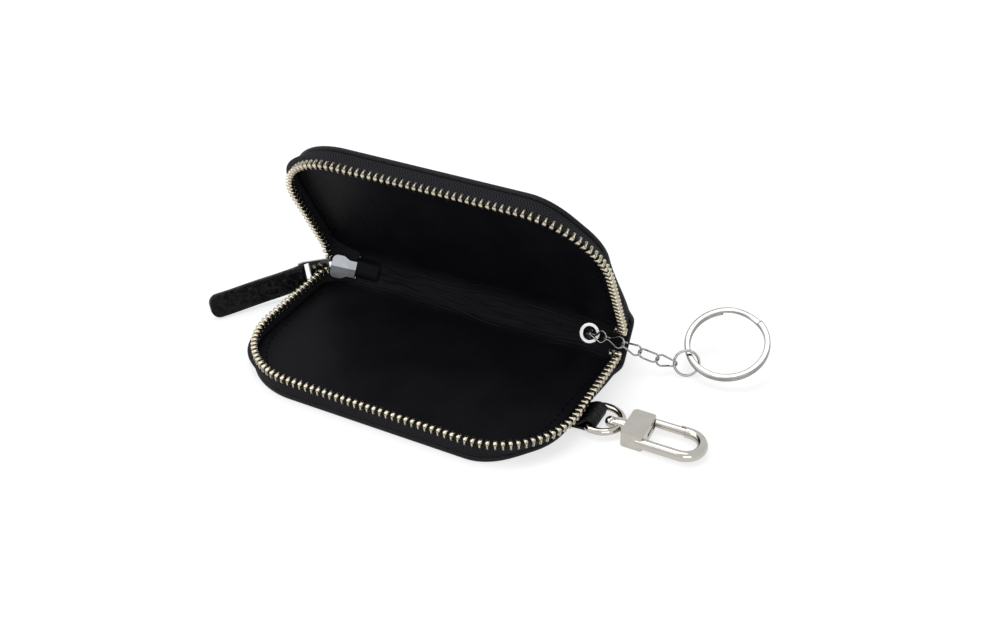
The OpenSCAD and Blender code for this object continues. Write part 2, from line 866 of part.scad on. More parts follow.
module chain_link_1() { color(silver) at_chain(0) curb_link(twist[0], staple_back); }
module chain_link_2() { color(silver) at_chain(1) curb_link(twist[1]); }
module chain_link_3() { color(silver) at_chain(2) curb_link(twist[2]); }
module chain_link_4() { color(silver) at_chain(3) curb_link(twist[3]); }
module chain_link_5() { color(silver) at_chain(4) curb_link(twist[4]); }

module jump_ring() {
    color(silver) at_chain(5) translate([jump_mean - jump_back, 0, 0]) rotate([0, 0, 60])
        rotate_extrude(angle = jump_open, $fn = 96) translate([jump_mean, 0]) circle(jump_r, $fn = 24);
}

// The split ring: one flat wire wound twice, which steps up over its own end
function split_rise(a) =
    a < 360 - split_ramp / 2 ? 0 :
    a > 360 + split_ramp / 2 ? split_pitch :
    split_pitch * (1 - cos((a - 360 + split_ramp / 2) * 180 / split_ramp)) / 2;
function split_angle(i) = split_from + (split_to - split_from) * i / split_steps;
split_corners = [[-1, -1], [1, -1], [1, 1], [-1, 1]];
function split_point(i, k) = let (a = split_angle(i), r = split_mean + split_corners[k][0] * split_w / 2) [
    r * cos(a), r * sin(a), split_rise(a) - split_pitch / 2 + split_corners[k][1] * split_t / 2
];
function tube_faces(rings, sides) = [
    for (i = [0:rings - 2], k = [0:sides - 1], half = [0, 1])
        half == 0
            ? [i * sides + k, (i + 1) * sides + (k + 1) % sides, (i + 1) * sides + k]
            : [i * sides + k, i * sides + (k + 1) % sides, (i + 1) * sides + (k + 1) % sides],
    for (k = [1:sides - 2]) [0, k + 1, k],
    for (k = [1:sides - 2]) let (e = (rings - 1) * sides) [e, e + k, e + k + 1]
];

module split_ring() {
    color(silver) at_chain(6) translate([split_mean - split_back, 0, 0]) rotate([0, 0, split_seam])
        polyhedron(
            points = [for (i = [0:split_steps], k = [0:3]) split_point(i, k)],
            faces = tube_faces(split_steps + 1, 4)
        );
}

module across_strap(w) {
    translate([0, strap_y + w / 2, 0]) rotate([90, 0, 0]) linear_extrude(w) children();
}

module strap_loop() {
    tail_x = side_x - strap_in;
    edge_x = side_x + edge_out;
    color(leather) difference() {
        union() {
            across_strap(strap_w)
                polygon([[tail_x, cover_t], [strap_end_x, cover_t], [strap_end_x, hem_top], [tail_x, hem_top]]);
            intersection() {
                across_strap(strap_w) polygon([
                    [edge_x, cover_t], [eye_bar_x, hook_z - strap_neck],
                    [eye_bar_x, hook_z + strap_neck], [edge_x, hem_top]
                ]);
                linear_extrude(full_h) polygon([
                    [edge_x - grip, strap_y - strap_w / 2], [eye_bar_x - eye_r, strap_y - strap_loop_w / 2],
                    [eye_bar_x + over, strap_y - strap_loop_w / 2], [eye_bar_x + over, strap_y + strap_loop_w / 2],
                    [eye_bar_x - eye_r, strap_y + strap_loop_w / 2], [edge_x - grip, strap_y + strap_w / 2]
                ]);
            }
            across_strap(strap_loop_w) translate([eye_bar_x, hook_z]) circle(strap_loop_r);
        }
        across_strap(strap_w + 2 * over) translate([eye_bar_x, hook_z]) circle(eye_r + eye_fit);
    }
}

module swivel_eye() {
    color(nickel) translate([0, strap_y, hook_z]) difference() {
        union() {
            bar([eye_bar_x, eye_bend - eye_half, 0], [eye_bar_x, eye_half - eye_bend, 0], eye_r);
            for (side = [-1, 1]) {
                bar([eye_bar_x + eye_bend, side * eye_half, 0], [eye_bow_x, side * eye_half, 0], eye_r);
                translate([eye_bar_x + eye_bend, side * (eye_half - eye_bend), 0]) rotate([0, 0, 135 - side * 45])
                    rotate_extrude(angle = 90, $fn = 48) translate([eye_bend, 0]) circle(eye_r, $fn = 24);
            }
            translate([eye_bow_x, 0, 0]) rotate([0, 0, -90])
                rotate_extrude(angle = 180, $fn = 96) translate([eye_half, 0]) circle(eye_r, $fn = 24);
            translate([eye_tip_x - boss_back, 0, 0])
                rotate([0, 90, 0]) cylinder(r = boss_eye_r, h = boss_back + boss_front);
        }
        translate([eye_bar_x + 2 * eye_r, 0, 0]) rotate([0, 90, 0]) cylinder(r = post_r + post_fit, h = 2 * eye_half);
    }
}

module swivel_post() {
    collar_x = eye_tip_x - boss_back - post_gap - collar_t;
    color(nickel) translate([0, strap_y, hook_z]) {
        translate([collar_x - ball_r / 2, 0, 0]) sphere(ball_r, $fn = 32);
        translate([collar_x, 0, 0]) rotate([0, 90, 0]) cylinder(r = collar_r, h = collar_t);
        translate([collar_x, 0, 0]) rotate([0, 90, 0]) cylinder(r = post_r, h = block_x + post_in - collar_x);
    }
}

module block_plan() {
    w = block_w / 2;
    c = block_corner;
    n = block_nose;
    polygon([
        [c, -w], [block_l - n, -w], [block_l, n - w], [block_l, w - n], [block_l - n, w], [c, w], [0, w - c], [0, c - w]
    ]);
    for (side = [-1, 1]) {
        translate([c, side * (w - c)]) circle(c);
        translate([block_l - n, side * (w - n)]) circle(n);
    }
}

module hook_body() {
    color(nickel) translate([0, 0, hook_z]) difference() {
        union() {
            translate([block_x, strap_y, -block_t / 2]) linear_extrude(block_t) block_plan();
            bar([block_end - arm_in, arm_y, 0], [bow_x, arm_y, 0], arm_r);
            translate([bow_x, strap_y, 0]) rotate([0, 0, -90])
                rotate_extrude(angle = 180, $fn = 96) translate([hook_half, 0]) circle(arm_r, $fn = 32);
            // The nose, with its outer half running on as a lap for the gate
            translate([bow_x - nose_l, gate_y, 0]) rotate([0, 90, 0]) cylinder(r = arm_r, h = nose_l, $fn = 32);
            intersection() {
                translate([bow_x - nose_l - lap_l, gate_y, 0])
                    rotate([0, 90, 0]) cylinder(r = arm_r, h = lap_l + nose_l, $fn = 32);
                translate([bow_x - nose_l - lap_l, gate_y + lap_gap / 2, -arm_r])
                    cube([lap_l + nose_l, arm_r, 2 * arm_r]);
            }
        }
        // Bore of the swivel post
        translate([block_x - over, strap_y, 0]) rotate([0, 90, 0]) cylinder(r = post_r + grip, h = over + post_in + grip);
        // Slot between the two ears of the gate's hinge
        translate([gate_pin_x - knuckle_r - ear_gap, gate_y - knuckle_r - spring_gap, -knuckle_t / 2 - ear_gap])
            cube([block_l, 2 * arm_r + over + spring_gap, knuckle_t + 2 * ear_gap]);
        // Pin hole through both ears
        translate([gate_pin_x, gate_y - pin_drop, -block_t]) cylinder(r = pin_r + grip, h = 2 * block_t);
        // Pocket of the gate's spring
        translate([block_end - spring_in, spring_y - grip, 0])
            rotate([-90, 0, 0]) cylinder(r = spring_pocket, h = spring_l + over);
    }
}

module gate() {
    tip = bow_x - nose_l - nose_gap;
    color(nickel) translate([0, 0, hook_z]) difference() {
        union() {
            translate([gate_pin_x, gate_y - pin_drop, -knuckle_t / 2]) cylinder(r = knuckle_r - pin_drop / 2, h = knuckle_t);
            translate([gate_pin_x, gate_y, 0]) rotate([0, 90, 0]) cylinder(r = gate_r, h = tip - gate_pin_x, $fn = 32);
        }
        // The lap under the nose
        translate([tip - lap_l - nose_gap, gate_y - lap_gap / 2, -arm_r]) cube([lap_l + over, arm_r, 2 * arm_r]);
        translate([gate_pin_x, gate_y - pin_drop, -block_t]) cylinder(r = pin_r + pin_fit, h = 2 * block_t);
    }
}

module gate_pin() {
    color(nickel) translate([gate_pin_x, gate_y - pin_drop, hook_z - block_t / 2]) cylinder(r = pin_r, h = block_t);
}

// The gate's spring: an open coil from a loop of rings along its helix
function coil_point(i, k) = let (
    a = 360 * i / spring_rings,
    b = 360 * k / spring_sides,
    r = spring_mean + spring_wire * cos(b)
) [
    r * cos(a),
    r * sin(a),
    spring_wire + (spring_l - 2 * spring_wire) * i / (spring_rings * spring_turns) + spring_wire * sin(b)
];

function coil_centre(i) = let (a = 360 * i / spring_rings) [
    spring_mean * cos(a),
    spring_mean * sin(a),
    spring_wire + (spring_l - 2 * spring_wire) * i / (spring_rings * spring_turns)
];
coil_end = spring_rings * spring_turns;
coil_gap = min([
    for (i = [0:coil_end], j = [i + spring_rings / 2:1:coil_end]) norm(coil_centre(i) - coil_centre(j))
]) - 2 * spring_wire;

module gate_spring() {
    rings = spring_rings * spring_turns + 1;
    echo(coil_gap = coil_gap);
    color(satin) translate([block_end - spring_in, spring_y, hook_z]) rotate([-90, 0, 0])
        polyhedron(
            points = [for (i = [0:rings - 1], k = [0:spring_sides - 1]) coil_point(i, k)],
            faces = tube_faces(rings, spring_sides)
        );
}

lower_cover();
lower_board();
lower_lining();
lower_tape();
lower_teeth();
upper_cover();
upper_board();
upper_lining();
upper_tape();
upper_teeth();
spine_cover();
spine_lining();
tape_ends();
end_teeth();
top_stops();
eyelet();
eyelet_washer();
anchor_staple();
zip_patch();
tail_tape();
bottom_stop();
slider_body();
slider_bridge();
puller_link();
pull_tab();
chain_link_1();
chain_link_2();
chain_link_3();
chain_link_4();
chain_link_5();
jump_ring();
split_ring();
strap_loop();
swivel_eye();
swivel_post();
hook_body();
gate();
gate_pin();
gate_spring();
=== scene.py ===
"""Zip-round leather key case, standing open, with its key ring on a chain and its swivel snap hook."""
import math

import bpy
import numpy as np
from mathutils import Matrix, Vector


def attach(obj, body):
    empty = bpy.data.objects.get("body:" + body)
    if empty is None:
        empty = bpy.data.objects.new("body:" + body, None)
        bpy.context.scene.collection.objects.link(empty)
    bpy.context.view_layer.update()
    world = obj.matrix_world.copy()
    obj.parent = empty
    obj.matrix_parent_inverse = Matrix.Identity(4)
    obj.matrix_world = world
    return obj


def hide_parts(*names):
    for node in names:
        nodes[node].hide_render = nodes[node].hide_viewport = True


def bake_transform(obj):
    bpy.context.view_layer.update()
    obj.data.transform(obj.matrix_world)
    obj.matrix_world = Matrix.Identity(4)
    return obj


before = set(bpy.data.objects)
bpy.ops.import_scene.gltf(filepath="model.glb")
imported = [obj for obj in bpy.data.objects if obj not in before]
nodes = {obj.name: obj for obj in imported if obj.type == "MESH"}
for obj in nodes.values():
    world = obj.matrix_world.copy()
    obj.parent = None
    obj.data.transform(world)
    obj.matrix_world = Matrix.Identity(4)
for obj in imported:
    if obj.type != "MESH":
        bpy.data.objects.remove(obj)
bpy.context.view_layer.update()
scene = bpy.context.scene

# ---------------------------------------------------------------------------
# The table top, the lamps and the camera.
# A plain white table under three large soft lamps, seen from the front and
# from a little above, as on a product shot.
# ---------------------------------------------------------------------------
eye = np.array([0.1550, -0.2562, 0.2294])
sight = np.array([-0.36897, 0.73584, -0.56781])


def aimed(name, data, place, towards):
    """An object that stands at a place with its -Z axis along a direction and its Y axis upwards."""
    thing = bpy.data.objects.new(name, data)
    thing.location = place
    thing.rotation_euler = Vector(towards).to_track_quat("-Z", "Y").to_euler()
    scene.collection.objects.link(thing)
    return thing


lens = bpy.data.cameras.new("camera")
lens.lens = 43.2
lens.sensor_width = 36.0
lens.clip_start = 0.01
lens.clip_end = 20.0
scene.camera = aimed("camera", lens, eye, sight)
scene.view_settings.view_transform = "Standard"

case_middle = np.array([0.005, 0.010, 0.015])
for name, place, size, power in (
    ("lamp_left", (-0.55, -0.45, 0.80), 0.80, 3.4),
    ("lamp_over", (-0.10, 0.16, 0.95), 0.50, 2.4),
    ("lamp_right", (0.60, -0.70, 0.50), 0.60, 2.0),
):
    lamp = bpy.data.lights.new(name, "AREA")
    lamp.size = size
    lamp.energy = power
    aimed(name, lamp, place, case_middle - np.array(place))


def settle(node, **inputs):
    """Sets inputs of a shader node by name, with an underscore for each space of the name."""
    for name, value in inputs.items():
        node.inputs[name.replace("_", " ")].default_value = value
    return node


def add(tree, kind, **inputs):
    """Adds a shader node of one kind and settles its inputs."""
    return settle(tree.nodes.new("ShaderNode" + kind), **inputs)


def maths(tree, operation, *terms):
    """The result of one operation on terms, each a number or another node's output."""
    node = add(tree, "Math")
    node.operation = operation
    for into, term in zip(node.inputs, terms):
        if isinstance(term, float):
            into.default_value = term
        else:
            tree.links.new(term, into)
    return node.outputs[0]


def join(tree, *pairs):
    """Links outputs to inputs, given as (node, output name, node, input name)."""
    for a, out, b, into in pairs:
        tree.links.new(a.outputs[out], b.inputs[into])


def shown(tree, plain, added):
    """A strength: the plain one, plus an added one for what the camera, a reflection or clear glass sees."""
    rays = add(tree, "LightPath").outputs
    seen = maths(tree, "MAXIMUM", rays["Is Camera Ray"], rays["Is Glossy Ray"])
    seen = maths(tree, "MAXIMUM", seen, rays["Is Transmission Ray"])
    return maths(tree, "MULTIPLY_ADD", seen, added, plain)


world = bpy.data.worlds.new("studio")
scene.world = world
world.use_nodes = True
sky = settle(world.node_tree.nodes["Background"], Color=(0.96, 0.98, 1.0, 1.0))
world.node_tree.links.new(shown(world.node_tree, 0.48, 0.52), sky.inputs["Strength"])

table_half = 30.0
table_corners = [(x * table_half, y * table_half, 0.0) for x, y in ((-1, -1), (1, -1), (1, 1), (-1, 1))]
table = bpy.data.meshes.new("table_top")
table.from_pydata(table_corners, [], [(0, 1, 2, 3)])
table_top = bpy.data.objects.new("table_top", table)
scene.collection.objects.link(table_top)
white = bpy.data.materials.new("white_table")
white.use_nodes = True
tree = white.node_tree
tree.nodes.clear()
soft_white = add(tree, "BsdfDiffuse", Color=(0.45, 0.45, 0.455, 1.0))
glow = add(tree, "Emission")
both = add(tree, "AddShader")
tree.links.new(shown(tree, 0.0, 0.66), glow.inputs["Strength"])
tree.links.new(soft_white.outputs[0], both.inputs[0])
tree.links.new(glow.outputs[0], both.inputs[1])
tree.links.new(both.outputs[0], add(tree, "OutputMaterial").inputs["Surface"])
table.materials.append(white)

# ---------------------------------------------------------------------------
# The outer leather: two grained calf halves and the spine in one skin.
# The edge is turned in over a soft roll all round, and the skin wraps the
# two rolled folds of the spine.
# ---------------------------------------------------------------------------
side_x, front_y = 54.3, -30.0
corner_r = 24.6
corner_y = front_y + corner_r
edge_out, edge_r, hem_w, drawn_in = 0.6, 0.95, 5.0, 3.3
fold_y, fold_z, mid_z = 30.0, 2.2, 8.25
half_open = math.radians(31.0)
left_l = 22.0 - corner_y
right_l = 23.4 - corner_y
corner_l = math.pi / 2 * corner_r
front_l = 2 * (side_x - corner_r)
zip_l = left_l + corner_l + front_l + corner_l + right_l


def on_zip(s, out):
    """Place and outward direction at a length along the zip line: side, corner, front, corner and side."""
    s, out = np.broadcast_arrays(np.asarray(s, float), np.asarray(out, float))
    s1, s2 = s - left_l, s - left_l - corner_l
    s3, s4 = s2 - front_l, s2 - front_l - corner_l
    a = math.pi + np.clip(s1, 0, corner_l) / corner_r + np.clip(s3, 0, corner_l) / corner_r
    way = np.stack([np.cos(a), np.sin(a)], -1)
    x = corner_r - side_x + np.clip(s2, 0, front_l)
    y = corner_y + np.clip(-s1, 0, None) + np.clip(s4, 0, None)
    return np.stack([x, y], -1) + (corner_r + out)[..., None] * way, way


def smooth(t):
    """A step from 0 to 1 with soft ends: 3 t squared less 2 t cubed."""
    t = np.clip(t, 0, 1)
    return t * t * (3 - 2 * t)


def drift(s):
    """How far the leather's edge stands out from the zip line: drawn in round the right corner and side."""
    r = np.asarray(s, float) - left_l - corner_l - front_l
    return -drawn_in * smooth((r - 2.0) / 20.0) * (1 - 0.7 * smooth((r - 40.0) / 30.0))


def leaned(points):
    """Points of the shut spine where it stands open: turned about the lower fold by half the opening."""
    p = np.asarray(points, float)
    y, z = p[..., 1] - fold_y, p[..., 2] - fold_z
    c, s = math.cos(half_open), math.sin(half_open)
    return np.stack([p[..., 0], fold_y + y * c + z * s, fold_z - y * s + z * c], -1)


outer_y = 31.9
spine_middle = leaned([0.0, fold_y, mid_z])
spine_way = np.array([0.0, math.sin(half_open), math.cos(half_open)])
turn_all = math.pi / 2 - half_open
skin_r = 4.0
crease_y = fold_y + (outer_y - fold_y) / math.cos(half_open) - fold_z * math.tan(half_open)
bend_from = crease_y - skin_r * math.tan(turn_all / 2)


def over(points):
    """The mirror image of points in the plane that halves the spine: the lid for the lower half."""
    p = np.asarray(points, float)
    return p - 2.0 * ((p - spine_middle) @ spine_way)[..., None] * spine_way


def on_half(part, points, faces):
    """Points and sets of faces as they are for the lower half, or mirrored and turned round for the lid."""
    if part == "lower":
        return points, faces
    return over(points), [one[:, ::-1] for one in faces]


def piece(name, points, faces, finish, uv=None):
    """A smooth mesh object in metres from points in millimetres and sets of faces, with one finish."""
    mesh = bpy.data.meshes.new(name)
    corners = [face for one in faces for face in one.tolist()]
    mesh.from_pydata((points.reshape(-1, 3) * 0.001).tolist(), [], corners)
    if uv is not None:
        layer = mesh.uv_layers.new(name="along_piece")
        point_of = np.zeros(len(mesh.loops), int)
        mesh.loops.foreach_get("vertex_index", point_of)
        layer.data.foreach_set("uv", uv[point_of].ravel())
    mesh.polygons.foreach_set("use_smooth", np.full(len(mesh.polygons), True))
    mesh.materials.append(finish)
    made = bpy.data.objects.new(name, mesh)
    scene.collection.objects.link(made)
    return made


def quads(rows, columns, ring=False, flip=False):
    """Four-sided faces between neighbours of a grid of points, whose rows may close into rings."""
    i, j = np.meshgrid(np.arange(rows - 1), np.arange(columns if ring else columns - 1), indexing="ij")
    i, j = i.ravel(), j.ravel()
    i2, j2 = i + 1, (j + 1) % columns
    faces = np.stack([i * columns + j, i2 * columns + j, i2 * columns + j2, i * columns + j2], 1)
    return faces[:, ::-1] if flip else faces


def wrapped(x, q, depth):
    """A point of the flat skin in space. q runs back along the underside, round the fold and up the spine."""
    x, q, depth = np.broadcast_arrays(np.asarray(x, float), np.asarray(q, float), np.asarray(depth, float))
    turn = np.clip((q - bend_from) / skin_r, 0, turn_all)
    r = skin_r - depth
    past = np.clip(q - bend_from - skin_r * turn_all, 0, None)
    y = np.minimum(q, bend_from) + r * np.sin(turn)
    return np.stack([x, y, skin_r - r * np.cos(turn)], -1) + past[..., None] * spine_way


spine_end = bend_from + skin_r * turn_all
spine_end += float((spine_middle - wrapped(0.0, spine_end, 0.0)) @ spine_way)


def rounded_path(corners, radii, step):
    """A polyline with its corners rounded by arcs, sampled about evenly."""
    corners = np.asarray(corners, float)
    parts = [corners[:1]]
    for k in range(1, len(corners) - 1):
        a, b, c = corners[k - 1], corners[k], corners[k + 1]
        u, v = (a - b) / np.linalg.norm(a - b), (c - b) / np.linalg.norm(c - b)
        half = math.acos(np.clip(u @ v, -1, 1)) / 2
        r = radii[k - 1]
        cut = r / math.tan(half)
        centre = b + (u + v) / np.linalg.norm(u + v) * r / math.sin(half)
        s, e = b + u * cut - centre, b + v * cut - centre
        sweep = math.pi - 2 * half
        n = max(4, int(abs(sweep) * r / step) + 2)
        t = np.linspace(0, 1, n)[:, None]
        parts.append(centre + (np.sin((1 - t) * sweep) * s + np.sin(t * sweep) * e) / math.sin(sweep))
    parts.append(corners[-1:])
    rough = np.vstack(parts)
    filled = [rough[:1]]
    for a, b in zip(rough[:-1], rough[1:]):
        n = max(1, int(np.linalg.norm(b - a) / step + 0.5))
        filled.append(a + (b - a) * np.linspace(0, 1, n + 1)[1:, None])
    return np.vstack(filled)


def outward(path):
    """Unit vectors square to a flat path, on its left-hand side."""
    d = np.gradient(path, axis=0)
    d /= np.linalg.norm(d, axis=1)[:, None]
    return np.stack([-d[:, 1], d[:, 0]], 1)


zip_s = np.linspace(zip_l, 0.0, 230)
rear_corners = [(-side_x, 21.9), (-side_x, 25.4), (-51.6, 28.5), (-43.6, 29.9), (-43.6, spine_end)]
rear_left = rounded_path(rear_corners, [2.5, 2.5, 1.2], 0.8)
right_drift = float(drift(zip_l))
side_q = np.linspace(spine_end, 24.0, 26)
side_line = np.stack([side_x + right_drift * (1 - smooth((side_q - 23.4) / 6.0)), side_q], 1)
skin_edge = np.vstack([side_line, on_zip(zip_s, drift(zip_s))[0], rear_left[1:]])


def new_finish(name):
    """A new material, its node tree and its shader."""
    made = bpy.data.materials.new(name)
    made.use_nodes = True
    return made, made.node_tree, made.node_tree.nodes["Principled BSDF"]


def ramp(tree, dark, light, low=0.0, high=1.0):
    """A colour ramp from a dark to a light colour between two values."""
    made = add(tree, "ValToRGB")
    first, last = made.color_ramp.elements
    first.position, last.position = low, high
    first.color, last.color = (*dark, 1.0), (*light, 1.0)
    return made


def leather(name, dark, light, pore, pore_depth, wave, wave_depth, gloss, sheen):
    """Grained leather: cells of the grain and fine noise as bump, long soft creases, and a worn sheen."""
    made, tree, shader = new_finish(name)
    place = add(tree, "TexCoord")
    grain = add(tree, "TexVoronoi", Scale=pore)
    grain.feature = "SMOOTH_F1"
    fine = add(tree, "TexNoise", Scale=pore * 1.7, Detail=3.0)
    stretch = add(tree, "Mapping", Scale=(0.16, 1.0, 1.0))
    crease = add(tree, "TexNoise", Scale=wave, Detail=2.5, Distortion=0.6)
    cloud = add(tree, "TexNoise", Scale=70.0, Detail=3.0)
    tint = ramp(tree, dark, light, 0.3, 0.75)
    worn = add(tree, "MapRange", To_Min=gloss[0], To_Max=gloss[1])
    pores = add(tree, "Bump", Distance=pore_depth)
    grit = add(tree, "Bump", Distance=pore_depth * 0.45)
    folds = add(tree, "Bump", Distance=wave_depth)
    join(
        tree,
        (place, "Object", grain, "Vector"),
        (place, "Object", fine, "Vector"),
        (place, "Object", stretch, "Vector"),
        (stretch, "Vector", crease, "Vector"),
        (place, "Object", cloud, "Vector"),
        (cloud, "Fac", tint, "Fac"),
        (cloud, "Fac", worn, "Value"),
        (grain, "Distance", pores, "Height"),
        (fine, "Fac", grit, "Height"),
        (crease, "Fac", folds, "Height"),
        (pores, "Normal", grit, "Normal"),
        (grit, "Normal", folds, "Normal"),
        (folds, "Normal", shader, "Normal"),
        (tint, "Color", shader, "Base Color"),
        (worn, "Result", shader, "Roughness"),
    )
    settle(shader, Specular_IOR_Level=sheen)
    return made


grained_calf = leather(
    "grained_calf",
    dark=(0.0050, 0.0050, 0.0066),
    light=(0.0095, 0.0095, 0.0120),
    pore=1500.0,
    pore_depth=0.00020,
    wave=420.0,
    wave_depth=0.00008,
    gloss=(0.42, 0.56),
    sheen=0.15,
)
tuck_in, tuck_depth = 0.6, 0.08


def roll_strip(path, hem):
    """The turned edge: a profile from hem over roll to outer face, carried along the flat path."""
    side = outward(path)
    turn = np.linspace(math.pi / 2, -math.pi / 2, 9)
    base = edge_out - edge_r
    inner = base - hem[:, None] * [1.0, 0.5]
    roll = np.tile(base + np.cos(turn) * edge_r, (len(path), 1))
    outs = np.hstack([inner, roll, np.full((len(path), 1), base - tuck_in)])
    depth = np.concatenate([[2 * edge_r, 2 * edge_r], edge_r + np.sin(turn) * edge_r, [tuck_depth]])
    flat = path[:, None, :] + outs[..., None] * side[:, None, :]
    return wrapped(flat[..., 0], flat[..., 1], depth[None, :])


def border(q, out, rear):
    """Left and right limit of a sheet at each q: the zip line moved out with its drift, and the rear edge."""
    left_round = np.linspace(left_l, left_l + corner_l, 60)
    right_round = np.linspace(left_l + corner_l + front_l, zip_l, 110)
    limits = []
    for s in (left_round, right_round):
        line = on_zip(s, drift(s) + out)[0]
        if s[0] > left_l:
            line = np.vstack([line, side_line[:-1] + (out, 0)])
        order = np.argsort(line[:, 1])
        limits.append(np.interp(q, line[order, 1], line[order, 0]))
    left = np.where(q > corner_y, -side_x - out, limits[0])
    left = np.where(q > rear[0][1], np.interp(q, [r[1] for r in rear], [r[0] for r in rear]), left)
    return left, limits[1]


def across_rows(rows, left, right, count):
    """A grid of x and q: rows from the left to the right limit, with a count of points in each."""
    x = left[:, None] + (right - left)[:, None] * np.linspace(0, 1, count)
    return x, np.broadcast_to(rows[:, None], x.shape)


def outer_half():
    """The skin of the lower half and half the spine: the turned edge, and the outer face in rows."""
    hem = np.full(len(skin_edge), hem_w)
    hem[len(side_line):len(side_line) + len(zip_s)] += drift(zip_s)
    hem[skin_edge[:, 1] > bend_from - 3.0] = 1.2
    strip = roll_strip(skin_edge, hem)
    inside = edge_out - edge_r
    front = front_y - inside
    bow = front + (corner_y - front) * (1 - np.cos(np.linspace(0, math.pi / 2, 30)))
    rows = np.concatenate([
        bow, np.linspace(corner_y, 23.0, 26)[1:], np.arange(23.5, bend_from, 0.5),
        np.linspace(bend_from, spine_end, 22),
    ])
    rear = [(p[0] - inside, p[1]) for p in rear_left if p[1] > 22.5]
    face = wrapped(*across_rows(rows, *border(rows, inside, rear), 61), 0.0)
    points = np.vstack([strip.reshape(-1, 3), face.reshape(-1, 3)])
    return points, [quads(*strip.shape[:2]), quads(*face.shape[:2]) + strip.shape[0] * strip.shape[1]]


skin_points, skin_faces = outer_half()
fold_start, fold_stop = (0.0, 0.0284, 0.0), (0.0, 0.0322, 0.0022)


def halves(name, points, faces, finish, start, stop, stands_for, slot, extra=None):
    """The piece on the lower half with half the spine, and its mirror image on the lid, bent at the folds."""
    for part, body in (("lower", "base"), ("upper", "lid")):
        made = piece(f"{part}_{name}", *on_half(part, points, faces), finish)
        if extra:
            extra(made)
        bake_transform(made)
        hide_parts(*stands_for[part])


halves(
    "skin", skin_points, skin_faces, grained_calf, fold_start, fold_stop,
    {"lower": ["lower_cover", "spine_cover"], "upper": ["upper_cover"]}, "outer_leather",
)

# ---------------------------------------------------------------------------
# The boards: grey millboard that stiffens each half between skin and lining.
# They are glued in and don't show.
# ---------------------------------------------------------------------------


def fibred(name, dark, light, scale, rough, depth):
    """Pressed fibre: two colours mixed by fine noise, with the same noise as bump."""
    made, tree, shader = new_finish(name)
    place = add(tree, "TexCoord")
    noise = add(tree, "TexNoise", Scale=scale, Detail=4.0)
    tint = ramp(tree, dark, light)
    bump = add(tree, "Bump", Distance=depth)
    settle(shader, Roughness=rough)
    join(
        tree,
        (place, "Object", noise, "Vector"),
        (noise, "Fac", tint, "Fac"),
        (noise, "Fac", bump, "Height"),
        (tint, "Color", shader, "Base Color"),
        (bump, "Normal", shader, "Normal"),
    )
    return made


def finished(names, finish):
    """Gives carried-over CAD nodes their finish."""
    for name in names:
        nodes[name].data.materials.clear()
        nodes[name].data.materials.append(finish)


millboard = fibred("millboard", (0.20, 0.18, 0.16), (0.34, 0.31, 0.27), scale=900.0, rough=0.9, depth=0.00005)
finished(["lower_board", "upper_board"], millboard)

# ---------------------------------------------------------------------------
# The lining: smooth black sheepskin, glued over the boards and up the spine.
# It lies flat in each half and creases along the spine, where it bends.
# ---------------------------------------------------------------------------
lining_top, lining_in, lining_t = 3.0, 0.55, 0.5
hollow_r = 6.0
corner_at = fold_y - 0.4 / math.cos(half_open) + (lining_top - fold_z) * math.tan(half_open)
cut_back = hollow_r * math.tan(turn_all / 2)


def lined(x, q, lift):
    """A point of the lining. q runs back along the floor, round a hollow and up the spine to its middle."""
    x, q, lift = np.broadcast_arrays(np.asarray(x, float), np.asarray(q, float), np.asarray(lift, float))
    start = corner_at - cut_back
    length = hollow_r * turn_all
    turn = np.clip((q - start) / hollow_r, 0, turn_all)
    y = np.minimum(q, start) + hollow_r * np.sin(turn)
    z = lining_top + hollow_r * (1 - np.cos(turn))
    past = np.clip(q - start - length, 0, None)
    way = np.stack([np.zeros_like(turn), np.cos(turn), np.sin(turn)], -1)
    up = np.stack([np.zeros_like(turn), -np.sin(turn), np.cos(turn)], -1)
    return np.stack([x, y, z], -1) + past[..., None] * way + lift[..., None] * up


lining_end = corner_at - cut_back + hollow_r * turn_all
lining_end += float((spine_middle - lined(0.0, lining_end, 0.0)) @ spine_way)


def crease_height(x, q):
    """Creases beside the spine: three sine waves along the skin that drift and fade, and one broad swell."""
    bend = 1.3 * np.sin(x * 0.055 + 0.6) + 0.6 * np.sin(x * 0.13)
    near = np.exp(-(((q - lining_end + 1.0) / 8.0) ** 2))
    waves = (
        0.7 * np.sin(3.7 * (q + bend) + 1.1 * np.sin(0.21 * x))
        + np.sin(5.6 * (q + 0.7 * bend) + 1.3 + 1.6 * np.sin(0.27 * x))
        + 0.7 * np.sin(8.3 * (q + 0.5 * bend) + 1.9 * np.sin(0.43 * x + 0.5 * q))
    )
    fade = 0.55 + 0.45 * np.sin(0.23 * x + 1.1 * q) * np.sin(0.07 * x + 0.5)
    broad = 0.10 * np.sin(0.11 * x + 0.4) * np.sin(0.16 * q + 0.7)
    return near * 0.10 * waves * fade + broad


def lining_half():
    """The lining of one half in rows, from the front edge back and up to the middle of the spine."""
    front = front_y + lining_in
    bow = front + (corner_y - front) * (1 - np.cos(np.linspace(0, math.pi / 2, 28)))
    floor = np.linspace(corner_y, 15.0, 26)[1:]
    rows = np.concatenate([bow, floor, np.arange(15.2, lining_end, 0.2), [lining_end]])
    rear = [
        (lining_in - side_x, 23.0), (-53.2, 25.4), (-51.6, 27.2), (-49.5, 28.2), (-46.5, 28.9), (-44.4, 29.6),
        (-44.4, 60.0),
    ]
    left, right = border(rows, -lining_in, rear)
    right = right + 0.65 * smooth((rows - 25.0) / 5.0)
    x, q = across_rows(rows, left, right, 201)
    hug = np.clip(np.minimum(x - left[:, None], right[:, None] - x) / 3.0, 0, 1)
    points = lined(x, q, crease_height(x, q) * hug)
    return points, [quads(*points.shape[:2], flip=True)]


